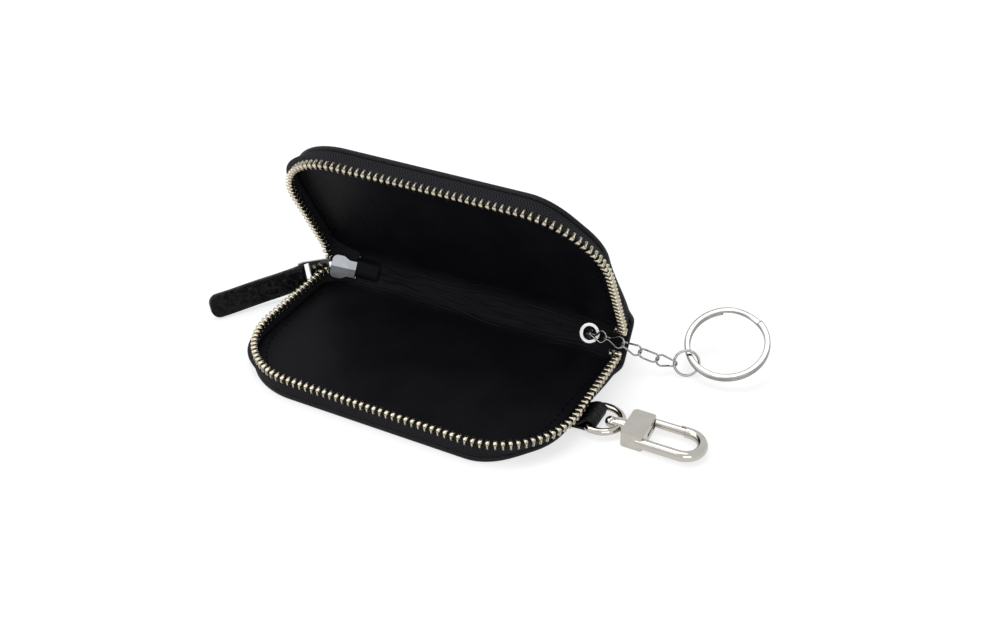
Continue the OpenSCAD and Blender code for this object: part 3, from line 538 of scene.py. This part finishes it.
def thicken(obj):
    """Gives the lining its thickness, on the glued side."""
    wall = obj.modifiers.new("thickness", "SOLIDIFY")
    wall.thickness = lining_t / 1000
    wall.offset = -1.0


smooth_lining = leather(
    "smooth_lining",
    dark=(0.0056, 0.0056, 0.0070),
    light=(0.0090, 0.0090, 0.0112),
    pore=2300.0,
    pore_depth=0.00004,
    wave=300.0,
    wave_depth=0.00012,
    gloss=(0.40, 0.52),
    sheen=0.05,
)
halves(
    "lining_skin", *lining_half(), smooth_lining, (0.0, 0.0270, 0.0030), (0.0, 0.0316, 0.0057),
    {"lower": ["lower_lining", "spine_lining"], "upper": ["upper_lining"]}, "lining_leather", extra=thicken,
)

# ---------------------------------------------------------------------------
# The stitching: one line of dark thread that holds skin, tape and lining.
# It runs round each half a little inside the zip, on both faces.
# ---------------------------------------------------------------------------
stitch_pitch, stitch_l, thread_r = 2.9, 2.1, 0.19
stitch_inset = 3.4


def stitches(z, sink):
    """A line of stitches: each a short rounded bar of thread whose ends dip into the leather."""
    count = int((zip_l - 4.0) / stitch_pitch)
    middle = 2.0 + stitch_pitch * (np.arange(count) + 0.5)
    t = np.linspace(-1, 1, 7)
    s = middle[:, None] + t * stitch_l / 2
    place, way = on_zip(s, drift(s) - stitch_inset)
    r = thread_r * np.sqrt(np.clip(1.02 - t**2, 0.02, 1))
    dip = sink * np.abs(t) ** 3
    a = np.linspace(0, 2 * math.pi, 7)[:-1]
    across = way[:, :, None, :] * (np.cos(a)[None, None, :, None] * r[None, :, None, None])
    x = place[:, :, None, 0] + across[..., 0]
    y = place[:, :, None, 1] + across[..., 1]
    height = z + np.sin(a)[None, None, :] * r[None, :, None] + dip[None, :, None] + 0 * x
    points = np.stack([x, y, height], -1)
    one = quads(len(t), len(a), ring=True, flip=True)
    shift = np.arange(count)[:, None, None] * len(t) * len(a)
    return points, [(one + shift).reshape(-1, 4)]


def thread_finish(name, tone):
    """Twisted thread: fine bands across it as bump and as light and dark."""
    made, tree, shader = new_finish(name)
    place = add(tree, "TexCoord")
    band = add(tree, "TexWave", Scale=900.0, Distortion=1.0)
    band.bands_direction = "DIAGONAL"
    tint = ramp(tree, [0.5 * c for c in tone], tone)
    bump = add(tree, "Bump", Distance=0.00006)
    settle(shader, Roughness=0.75, Specular_IOR_Level=0.04)
    join(
        tree,
        (place, "Object", band, "Vector"),
        (band, "Color", tint, "Fac"),
        (band, "Fac", bump, "Height"),
        (tint, "Color", shader, "Base Color"),
        (bump, "Normal", shader, "Normal"),
    )
    return made


dark_thread = thread_finish("dark_thread", (0.0012, 0.0012, 0.0016))
for line, z, sink in (("inner_stitches", lining_top + 0.04, -0.35), ("outer_stitches", 0.06, 0.3)):
    for part, body in (("lower", "base"), ("upper", "lid")):
        made = piece(f"{part}_{line}", *on_half(part, *stitches(z, sink)), dark_thread)
        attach(made, body)

# ---------------------------------------------------------------------------
# The zip tape: black woven twill with a corded bead along its free edge.
# Its foot is sewn between skin and lining, and it stands up from the seam.
# ---------------------------------------------------------------------------
hem_top = 1.95
bead_z, bead_r, tape_half = 6.8, 0.55, 0.35


def lengths(path):
    """The length run along a path up to each of its points."""
    return np.concatenate([[0], np.cumsum(np.linalg.norm(np.diff(path, axis=0), axis=1))])


def tape(top, foot, out, belly):
    """Tape between a foot line and a beaded top line: outer face with its belly, bead and inner face."""
    rise = np.linspace(0, 1, 14)[None, :, None]
    body = foot[:, None] + (top - foot)[:, None] * rise
    bulge = np.sin(math.pi * rise) * np.asarray(belly, float).reshape(-1, 1, 1)
    up = top - foot
    up /= np.linalg.norm(up, axis=1)[:, None]
    a = np.linspace(-0.7, math.pi + 0.7, 12)[None, :, None]
    bead = top[:, None] + bead_r * (np.cos(a) * out[:, None] + np.sin(a) * up[:, None])
    outer = body + out[:, None] * (tape_half + bulge)
    inner = (body + out[:, None] * (0.8 * bulge - tape_half))[:, ::-1]
    rings = np.concatenate([outer[:, :-1], bead, inner[:, 1:]], 1)
    along, across = lengths(top)[:, None], lengths(rings[len(rings) // 2])[None, :]
    uv = np.stack(np.broadcast_arrays(along, across), -1)
    return rings, uv.reshape(-1, 2)


def twill(name, tone, thread, column):
    """Herringbone twill: ridges of thread that lean left and right in columns of the tape's own map."""
    made, tree, shader = new_finish(name)
    place = add(tree, "UVMap")
    place.uv_map = "along_piece"
    split = add(tree, "SeparateXYZ")
    tree.links.new(place.outputs["UV"], split.inputs[0])
    lean = maths(tree, "PINGPONG", split.outputs["Y"], column)
    total = maths(tree, "ADD", split.outputs["X"], lean)
    wave = maths(tree, "SINE", maths(tree, "MULTIPLY", total, 2 * math.pi / thread))
    ridge = add(tree, "MapRange", From_Min=-1.0)
    tree.links.new(wave, ridge.inputs["Value"])
    colour = ramp(tree, [0.06 * c for c in tone], tone)
    bump = add(tree, "Bump", Distance=0.00022)
    fuzz = add(tree, "TexNoise", Scale=3000.0)
    rough = add(tree, "MapRange", To_Min=0.62, To_Max=0.85)
    join(
        tree,
        (ridge, "Result", colour, "Fac"),
        (ridge, "Result", bump, "Height"),
        (fuzz, "Fac", rough, "Value"),
        (rough, "Result", shader, "Roughness"),
        (colour, "Color", shader, "Base Color"),
        (bump, "Normal", shader, "Normal"),
    )
    settle(shader, Specular_IOR_Level=0.08)
    return made


tape_twill = twill("tape_twill", (0.034, 0.034, 0.040), thread=0.95, column=1.20)
run = np.linspace(0, zip_l, 300)
place, way = on_zip(run, 0.0)
row_top = np.column_stack([place, np.full(len(run), bead_z)])
row_foot = np.column_stack([on_zip(run, drift(run) - 0.1)[0], np.full(len(run), hem_top)])
row_out = np.column_stack([way, np.zeros(len(run))])
left_bump = np.clip((run - left_l + 5.0) / (0.9 * corner_l), 0, 1)
row_rings, row_uv = tape(row_top, row_foot, row_out, 0.2 + 2.0 * np.sin(math.pi * left_bump) ** 2)
row_faces = [quads(*row_rings.shape[:2], ring=True, flip=True)]
for part, body in (("lower", "base"), ("upper", "lid")):
    made = piece(f"{part}_twill_tape", *on_half(part, row_rings, row_faces), tape_twill, row_uv)
    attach(made, body)
    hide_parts(f"{part}_tape")

# ---------------------------------------------------------------------------
# The ends of the tape, which the spine holds and which bend at the folds.
# On the left they run into the slider, on the right they turn in beside
# the chain's way out. Their feet are sewn to the edge of the leather.
# ---------------------------------------------------------------------------
slider_a, slider_half = math.radians(34.0), 4.2
slider_at = np.array([
    -48.9 - slider_half * math.cos(slider_a), 27.4 - slider_half * math.sin(slider_a), 7.2,
])


def in_slider(x, y, z):
    """A point of the slider's own frame, mouth to tail, outwards and across, on the leaning spine."""
    c, s = math.cos(slider_a), math.sin(slider_a)
    x, y, z = np.broadcast_arrays(np.asarray(x, float), np.asarray(y, float), np.asarray(z, float))
    along, outwards = slider_at[0] + x * c - y * s, slider_at[1] + x * s + y * c
    return leaned(np.stack([along, outwards, slider_at[2] + z], -1))


def eased(a, b, t):
    """Unit vectors that turn smoothly from one direction to another."""
    t = smooth(t)[:, None]
    v = a * (1 - t) + b * t
    return v / np.linalg.norm(v, axis=1)[:, None]


def even(path, count):
    """A path sampled again at even distances."""
    d = lengths(path)
    t = np.linspace(0, d[-1], count)
    return np.stack([np.interp(t, d, path[:, k]) for k in range(path.shape[1])], 1)


def arc_between(a, da, b, db, count):
    """A cubic curve from a point and its direction to another point and its direction."""
    t = np.linspace(0, 1, count)[:, None]
    return a * (1 - t) ** 2 * (1 + 2 * t) + b * t**2 * (3 - 2 * t) \
        + da * t * (1 - t) ** 2 - db * t**2 * (1 - t)


def left_end(across):
    """The tape's way into the slider, its foot round the leather's rear corner, and its points with teeth."""
    to_mouth = 22
    start = np.array([-side_x, 22.0, bead_z])
    mouth = in_slider(0.4, 0.0, across)
    heading = in_slider(1.4, 0.0, across) - mouth
    first = arc_between(start, np.array([0.0, 6.5, 0.0]), mouth, 5.0 * heading, to_mouth)
    inside = in_slider(np.linspace(0.4, 8.9, 24)[1:], 0.0, np.linspace(across, across + 0.9, 24)[1:])
    top = np.vstack([first, inside])
    foot_corners = [(-side_x, 21.95), (-side_x, 25.3), (-51.4, 28.3), (-44.3, 29.5)]
    foot_path = even(rounded_path(foot_corners, [2.5, 2.5], 0.4), len(top))
    foot = wrapped(foot_path[:, 0], foot_path[:, 1], hem_top)
    t = np.arange(len(top)) / (to_mouth - 1.0)
    out = eased(np.array([[-1.0, 0.0, 0.0]]), in_slider(0.0, 1.0, 0.0) - in_slider(0.0, 0.0, 0.0), t)
    return top, foot, out, to_mouth


tail_r, tail_x, tail_y, tail_z = 3.8, side_x - 3.8, 23.4, 4.15


def right_end():
    """The tape's way round the right end: on from the row, then a quarter turn in on the leaning spine."""
    a = np.radians(np.linspace(0.0, 84.0, 26))
    way = np.stack([np.cos(a), np.sin(a), np.zeros(26)], 1)
    turned_in = leaned(np.array([tail_x, tail_y, tail_z]) + tail_r * way)
    start = np.array([side_x, tail_y, bead_z])
    heading = turned_in[1] - turned_in[0]
    first = arc_between(start, np.array([0.0, 2.2, 0.0]), turned_in[0], 2.2 * heading * 4, 10)
    top = np.vstack([first[:-1], turned_in])
    t = np.linspace(0, 1, len(top))[:, None]
    foot = (1 - t) ** 2 * np.array([side_x - 0.1 + right_drift, tail_y, hem_top]) \
        + 2 * t * (1 - t) * np.array([54.4, 28.0, 2.0]) \
        + t**2 * leaned([51.0, 29.4, 4.6])
    out = np.vstack([np.tile([[1.0, 0.0, 0.0]], (9, 1)), leaned(way) - leaned([0.0, 0.0, 0.0])])
    return top, foot, out, len(top)


ends = []
for part, body, across in (("lower", "base", -2.3), ("upper", "lid", 0.2)):
    for side, (top, foot, out, toothed), start, stop in (
        ("left", left_end(across), (-54.3, 22.2, 5.5), (-52.0, 27.6, 7.0)),
        ("right", right_end(), (54.3, 23.6, 5.0), (53.0, 27.2, 6.5)),
    ):
        rings, uv = tape(top, foot, out, 0.25)
        faces = [quads(*rings.shape[:2], ring=True, flip=side == "right")]
        bend = on_half(part, np.array([start, stop]), [])[0] / 1000
        made = piece(f"{part}_{side}_tape_end", *on_half(part, rings, faces), tape_twill, uv)
        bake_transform(made)
        if (part, side) == ("lower", "right"):
            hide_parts("tape_ends")
        ends.append((part, body, side, top[:toothed], out[:toothed], bend))

# ---------------------------------------------------------------------------
# The teeth: champagne-gold plated brass, stamped and clenched on the bead.
# Each has a narrow leg over the tape and a wide head; clips end the rows.
# ---------------------------------------------------------------------------


def metal(name, tone, rough, scratch, streak=(1.0, 1.0, 1.0), tarnish=0.85):
    """Plated metal: fine scratches as bump and gloss, and a thin darker tarnish that drifts over it."""
    made, tree, shader = new_finish(name)
    place = add(tree, "TexCoord")
    stretch = add(tree, "Mapping", Scale=streak)
    fine = add(tree, "TexNoise", Scale=2600.0, Detail=3.0)
    cloud = add(tree, "TexNoise", Scale=260.0, Detail=2.0)
    tint = ramp(tree, [tarnish * c for c in tone], tone, 0.35, 0.65)
    gloss = add(tree, "MapRange", To_Min=rough[0], To_Max=rough[1])
    bump = add(tree, "Bump", Distance=scratch)
    join(
        tree,
        (place, "Object", stretch, "Vector"),
        (stretch, "Vector", fine, "Vector"),
        (place, "Object", cloud, "Vector"),
        (cloud, "Fac", tint, "Fac"),
        (fine, "Fac", gloss, "Value"),
        (fine, "Fac", bump, "Height"),
        (tint, "Color", shader, "Base Color"),
        (gloss, "Result", shader, "Roughness"),
        (bump, "Normal", shader, "Normal"),
    )
    settle(shader, Metallic=1.0)
    return made


champagne = metal("champagne_gold", (0.62, 0.56, 0.43), (0.20, 0.36), 0.00001)
pitch, first_tooth = 2.15, 1.84
end_gap = {"lower": 0.31, "upper": 1.385}
right_half = np.array([
    (0.26, -0.95), (0.38, -0.80), (0.34, 0.30), (0.52, 0.56), (0.60, 0.92), (0.56, 1.26), (0.36, 1.46),
])
tooth_outline = np.vstack([[(-0.26, -0.95)], right_half, right_half[:0:-1] * (-1, 1)])


def teeth(place, along, out, up, stretch=1.0):
    """A set of teeth: one rounded T, cut from plate and clenched, set at each place along the row."""
    sides = len(tooth_outline)
    depth = np.array([-1.02, -0.86, 0.86, 1.02])
    shrink = np.array([0.66, 0.97, 0.97, 0.66])
    heart = np.array([0.0, 0.3])
    flat = heart + (tooth_outline - heart)[None] * shrink[:, None, None]
    local = np.concatenate([
        np.concatenate([flat, np.broadcast_to(depth[:, None, None], (4, sides, 1))], 2).reshape(-1, 3),
        [[*heart, -1.06], [*heart, 1.06]],
    ])
    points = place[:, None] + stretch * local[None, :, :1] * along[:, None] \
        + local[None, :, 1:2] * up[:, None] + local[None, :, 2:] * out[:, None]
    k = np.arange(sides)
    k2 = (k + 1) % sides
    caps = np.vstack([
        np.stack([k2, k, np.full(sides, 4 * sides)], 1),
        np.stack([3 * sides + k, 3 * sides + k2, np.full(sides, 4 * sides + 1)], 1),
    ])
    shift = np.arange(len(place))[:, None, None] * len(local)
    return points, [(quads(4, sides, ring=True) + shift).reshape(-1, 4), (caps + shift).reshape(-1, 3)]


for part, body, shift in (("lower", "base", 0.0), ("upper", "lid", -pitch / 2)):
    at = np.arange(first_tooth + shift, zip_l - 0.2, pitch)
    place, way = on_zip(at, 0.0)
    flat = np.zeros((len(at), 1))
    place = np.hstack([place, flat + bead_z])
    out = np.hstack([way, flat])
    up = np.tile([[0.0, 0.0, 1.0]], (len(at), 1))
    row = teeth(place, np.cross(up, out), out, up)
    made = piece(f"{part}_row_teeth", *on_half(part, *row), champagne)
    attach(made, body)
    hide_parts(f"{part}_teeth")


def sampled(table, d, at):
    """The rows of a table, given at lengths d, at other lengths."""
    return np.stack([np.interp(at, d, table[:, k]) for k in range(3)], 1)


for part, body, side, top, out, bend in ends:
    d = lengths(top)
    at = np.arange(end_gap[part], d[-1] - 0.2, pitch)
    along = sampled(np.gradient(top, axis=0), d, at)
    along /= np.linalg.norm(along, axis=1)[:, None]
    outs = sampled(out, d, at)
    outs -= along * (outs * along).sum(1)[:, None]
    outs /= np.linalg.norm(outs, axis=1)[:, None]
    up = np.cross(outs, along) if side == "right" else np.cross(along, outs)
    row = teeth(sampled(top, d, at), np.cross(up, outs), outs, up)
    made = piece(f"{part}_{side}_end_teeth", *on_half(part, *row), champagne)
    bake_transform(made)
    if side == "left":
        continue
    last = slice(-3, -2)
    clip = teeth(top[last], np.gradient(top, axis=0)[last] / np.diff(d)[-3], out[last], up[-1:], stretch=1.7)
    end_clip = piece(f"{part}_end_clip", *on_half(part, *clip), champagne)
    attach(end_clip, "spine")
    if part == "lower":
        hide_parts("end_teeth")
        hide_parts("top_stops")
finished(["bottom_stop"], champagne)

# ---------------------------------------------------------------------------
# The slider: satin zinc, cast in one, with a bridge that holds the pull.
# It closes the rows from the left-hand end of the spine.
# ---------------------------------------------------------------------------
satin_zinc = metal("satin_zinc", (0.20, 0.205, 0.215), (0.14, 0.24), 0.000012, streak=(1.0, 6.0, 1.0))
finished(["slider_body", "slider_bridge"], satin_zinc)

# ---------------------------------------------------------------------------
# The tail of the zip: tape, bottom stop and a small sewn patch of leather.
# The patch is pressed over the tape beside the slider.
# ---------------------------------------------------------------------------
patch_low, patch_high = -45.6, -35.6
patch_half, patch_rise, patch_foot = 3.5, 1.75, 29.85


def pillow(u, v):
    """A pressed patch: flat in the middle and rounded down at its edges, more softly at its far end."""
    ru, rv = np.clip(np.abs(u), 0, 1), np.clip(np.abs(v), 0, 1)
    return (1 - ru ** np.where(u < 0, 8.0, 6.0)) ** 0.7 * (1 - rv**4) ** 0.8


pu, pv = (np.sin(np.linspace(-1, 1, n) * math.pi / 2) for n in (33, 25))
pu, pv = np.meshgrid(pu, pv, indexing="ij")
patch_x = (patch_low + patch_high) / 2 + pu * (patch_high - patch_low) / 2
patch_y = patch_foot - pillow(pu, pv) * patch_rise + 0.06 * np.sin(5 * patch_x) * np.sin(4 * pv)
patch = leaned(np.stack([patch_x, patch_y, mid_z + pv * patch_half], -1))
made = piece("zip_tail_patch", patch, [quads(*patch.shape[:2])], smooth_lining)
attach(made, "spine")
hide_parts("zip_patch", "tail_tape")

# ---------------------------------------------------------------------------
# The pull: a silver link on the slider and a leather tab on the link.
# The tab is one strip of grained calf folded round the link's end bar,
# glued to itself and cut to a round end.
# ---------------------------------------------------------------------------
bright_silver = metal("bright_silver", (0.33, 0.325, 0.31), (0.08, 0.18), 0.000006)
finished(["puller_link"], bright_silver)
crossbar = in_slider(2.45, 4.05, 0.25)
tab_l, tab_w, tab_ply, tab_corner, link_l = 32.6, 8.4, 1.05, 3.0, 13.6
root_r = 1.6
pull_roll, pull_nod, pull_heading, tab_turn = 10.0, 2.7, 240.0, -4.0


def turned(points, axis, degrees):
    """Points turned about one axis through the origin."""
    a = math.radians(degrees)
    c, s = math.cos(a), math.sin(a)
    i, j = {"x": (1, 2), "y": (2, 0), "z": (0, 1)}[axis]
    p = np.array(points, float)
    p[..., i], p[..., j] = c * p[..., i] - s * p[..., j], s * p[..., i] + c * p[..., j]
    return p


def on_pull(points):
    """Points of the pull's own frame, X along the link and Z along its bars, in their place."""
    return crossbar + turned(turned(turned(points, "x", pull_roll), "y", pull_nod), "z", pull_heading)


def bowed(a, power):
    """A rounded wave: the value's size to a power, with its own sign."""
    return np.sign(a) * np.abs(a) ** power


def tab_shape():
    """The tab: rounded sections across it, thick at the fold round the bar and narrowing at its tip."""
    tip_from = tab_l - tab_corner
    x = np.concatenate([
        -root_r * np.cos(np.linspace(0, math.pi / 2, 8)), np.linspace(0, tip_from, 40)[1:],
        tip_from + tab_corner * np.sin(np.linspace(0, math.pi / 2, 12))[1:],
    ])
    half_w = np.full_like(x, tab_w / 2)
    tip = x > tip_from
    tip_x = (x[tip] - tip_from) / tab_corner
    half_w[tip] = tab_w / 2 - tab_corner + tab_corner * np.sqrt(np.clip(1 - tip_x**2, 0, 1))
    half_t = tab_ply + (root_r - tab_ply) * np.exp(-(np.clip(x, 0, None) / 1.9) ** 2)
    root = x < 0
    half_t[root] = root_r * np.sqrt(np.clip(1 - (x[root] / root_r) ** 2, 0, 1))
    half_t[-1] *= 0.72
    a = np.linspace(0, 2 * math.pi, 41)[:-1]
    wide, tall = bowed(np.cos(a), 0.16), bowed(np.sin(a), 0.42)
    z = half_w[:, None] * wide
    edge = np.clip((np.abs(wide) - 0.80) / 0.20, 0, 1)
    y = half_t[:, None] * tall * (1 - 0.10 * edge**2)
    y = y + 0.10 * np.sin(x * 0.33)[:, None] + 0.05 * np.sin(0.9 * z + 0.4 * x[:, None])
    return np.stack([np.broadcast_to(x[:, None], z.shape), y, z], -1)


tab_rings = on_pull(turned(tab_shape(), "z", tab_turn) + np.array([link_l, 0.0, 0.0]))
count, around = tab_rings.shape[:2]
middles = np.stack([tab_rings[0].mean(0), tab_rings[-1].mean(0)])
k = np.arange(around)
k2, last = (k + 1) % around, (count - 1) * around
tab_faces = [
    quads(count, around, ring=True),
    np.stack([k, k2, np.full(around, count * around)], 1),
    np.stack([last + k2, last + k, np.full(around, count * around + 1)], 1),
]
pebbled_calf = leather(
    "pebbled_calf",
    dark=(0.0026, 0.0026, 0.0034),
    light=(0.0060, 0.0060, 0.0072),
    pore=480.0,
    pore_depth=0.00085,
    wave=300.0,
    wave_depth=0.00010,
    gloss=(0.26, 0.44),
    sheen=0.12,
)
leather_tab = piece("leather_tab", np.vstack([tab_rings.reshape(-1, 3), middles]), tab_faces, pebbled_calf)
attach(leather_tab, "tab")
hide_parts("pull_tab")

# ---------------------------------------------------------------------------
# The eyelet, its washer and the staple that holds the chain.
# Pressed and plated brass, clenched through the spine.
# ---------------------------------------------------------------------------
pressed_silver = metal("pressed_silver", (0.86, 0.85, 0.83), (0.30, 0.42), 0.000008)
finished(["eyelet", "eyelet_washer"], pressed_silver)
finished(["anchor_staple"], bright_silver)

# ---------------------------------------------------------------------------
# The curb chain and the jump ring: bent and plated brass wire.
# Each link hangs in the one before it, and the first in the staple.
# ---------------------------------------------------------------------------
finished([f"chain_link_{n}" for n in range(1, 6)] + ["jump_ring"], bright_silver)

# ---------------------------------------------------------------------------
# The split ring: one flat spring-steel wire wound twice and plated.
# Its two ends lie over each other where the wire steps up.
# ---------------------------------------------------------------------------
chain_heading = np.radians([-8, 2, 11, 18, 18, 30])
chain_slope = np.radians([9, -7, -21, -20.5, -12, 7])
link_pitch, jump_roll = 5.9, math.radians(62.0)
jump_mean, jump_back, ring_turn = 3.9, 0.78, math.radians(14.0)
split_mean, split_w, split_t, split_pitch, split_back = 12.3, 1.8, 0.95, 1.05, 2.1
split_turn, split_roll, split_nod, split_heading = 36.0, 15.0, -19.0, 46.0
flat_way = np.stack([np.cos(chain_heading), np.sin(chain_heading)])
ways = np.vstack([np.cos(chain_slope) * flat_way, np.sin(chain_slope)]).T
anchor = leaned(np.array([42.9, fold_y - 3.0, mid_z]))
h, s, r = chain_heading[5], chain_slope[5], jump_roll
aside = np.array([
    -math.sin(s) * math.sin(r) * math.cos(h) - math.cos(r) * math.sin(h),
    -math.sin(s) * math.sin(r) * math.sin(h) + math.cos(r) * math.cos(h), math.cos(s) * math.sin(r),
])
split_from = anchor + link_pitch * ways[:5].sum(0) \
    + (jump_mean * (1 + math.cos(ring_turn)) - jump_back) * ways[5] + jump_mean * math.sin(ring_turn) * aside


def flat_wire_ring():
    """A flat wire wound twice: a rounded section carried round a circle that steps up over its own end."""
    a = np.radians(np.linspace(30.0, 690.0, 265))
    step = np.clip((np.degrees(a) - 330.0) / 60.0, 0, 1)
    rise = split_pitch * (1 - np.cos(step * math.pi)) / 2 - split_pitch / 2
    b = np.linspace(0, 2 * math.pi, 17)[:-1]
    radius = split_mean + split_w / 2 * bowed(np.cos(b), 0.45)[None, :]
    height = rise[:, None] + split_t / 2 * bowed(np.sin(b), 0.45)[None, :]
    return np.stack([radius * np.cos(a)[:, None], radius * np.sin(a)[:, None], height], -1)


def capped(rings):
    """Faces of a tube of rings, closed by a flat face at each end."""
    number = np.arange(rings.shape[0] * rings.shape[1]).reshape(rings.shape[:2])
    return [quads(*rings.shape[:2], ring=True, flip=True), np.stack([number[0], number[-1][::-1]])]


coil = turned(flat_wire_ring(), "z", split_turn) + np.array([split_mean - split_back, 0.0, 0.0])
coil = turned(turned(turned(coil, "x", split_roll), "y", split_nod), "z", split_heading) + split_from
split_ring = piece("flat_wire_ring", coil, capped(coil), bright_silver)
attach(split_ring, "split_ring")
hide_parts("split_ring")

# ---------------------------------------------------------------------------
# The strap: a skived strip of grained calf, sewn into the right-hand edge.
# It is folded round the bar of the swivel eye.
# ---------------------------------------------------------------------------
strap_y, hook_z, bar_x = 1.0, 2.6, 57.0
strap_wide, strap_narrow, strap_bore, strap_ply = 12.4, 9.0, 1.25, 1.3


def strap_shape():
    """The strip along its fold: out under the bar, round it and back, thin in the seam, full at the bar."""
    rings = 90
    mean_r = strap_bore + strap_ply / 2
    a = np.linspace(-math.pi * 0.60, math.pi * 0.60, 30)
    loop = np.stack([bar_x + mean_r * np.cos(a), hook_z + mean_r * np.sin(a)], 1)
    low = np.array([[48.0, 1.32], [51.5, 1.32], [53.5, 1.28]])
    high = np.array([[53.5, 2.3], [51.5, 1.75], [48.0, 1.68]])
    path = even(np.vstack([low, loop, high]), rings)
    soften = np.ones(7) / 7
    path = np.stack([np.convolve(np.pad(path[:, k], 3, mode="edge"), soften, "valid") for k in (0, 1)], 1)
    d = np.gradient(path, axis=0)
    d /= np.linalg.norm(d, axis=1)[:, None]
    grow = smooth((path[:, 0] - 51.8) / 2.6)
    half_t = 0.17 + (strap_ply / 2 - 0.17) * grow
    half_w = np.interp(path[:, 0], [51.8, 56.4], [strap_wide / 2, strap_narrow / 2 + 0.3])
    t = np.arange(rings)[:, None] * 0.2
    b = np.linspace(0, 2 * math.pi, 57)[:-1]
    wide, tall = bowed(np.cos(b), 0.2), bowed(np.sin(b), 0.6)
    y = strap_y + half_w[:, None] * wide
    crumple = np.sin(1.5 * y + 1.1 * t) + 0.8 * np.sin(2.9 * y - 1.7 * t + 1.0)
    off = half_t[:, None] * tall + 0.11 * crumple * grow[:, None] * np.clip(tall, 0, 1)
    return np.stack([path[:, :1] + d[:, 1:] * off, y, path[:, 1:] - d[:, :1] * off], -1)


creased_calf = leather(
    "creased_calf",
    dark=(0.0026, 0.0026, 0.0034),
    light=(0.0064, 0.0064, 0.0076),
    pore=1300.0,
    pore_depth=0.00022,
    wave=330.0,
    wave_depth=0.0009,
    gloss=(0.34, 0.50),
    sheen=0.14,
)
strip = strap_shape()
leather_strap = piece("leather_strap", strip, capped(strip), creased_calf)
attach(leather_strap, "base")
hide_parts("strap_loop")

# ---------------------------------------------------------------------------
# The swivel eye, its post and the snap hook: cast and polished nickel.
# The gate turns on a pin in the block, with a coil spring behind it.
# ---------------------------------------------------------------------------
polished_nickel = metal("polished_nickel", (0.50, 0.475, 0.43), (0.05, 0.11), 0.000003, tarnish=0.95)
hook_nodes = ["swivel_eye", "swivel_post", "hook_body", "gate", "gate_pin", "gate_spring"]
finished(hook_nodes, polished_nickel)
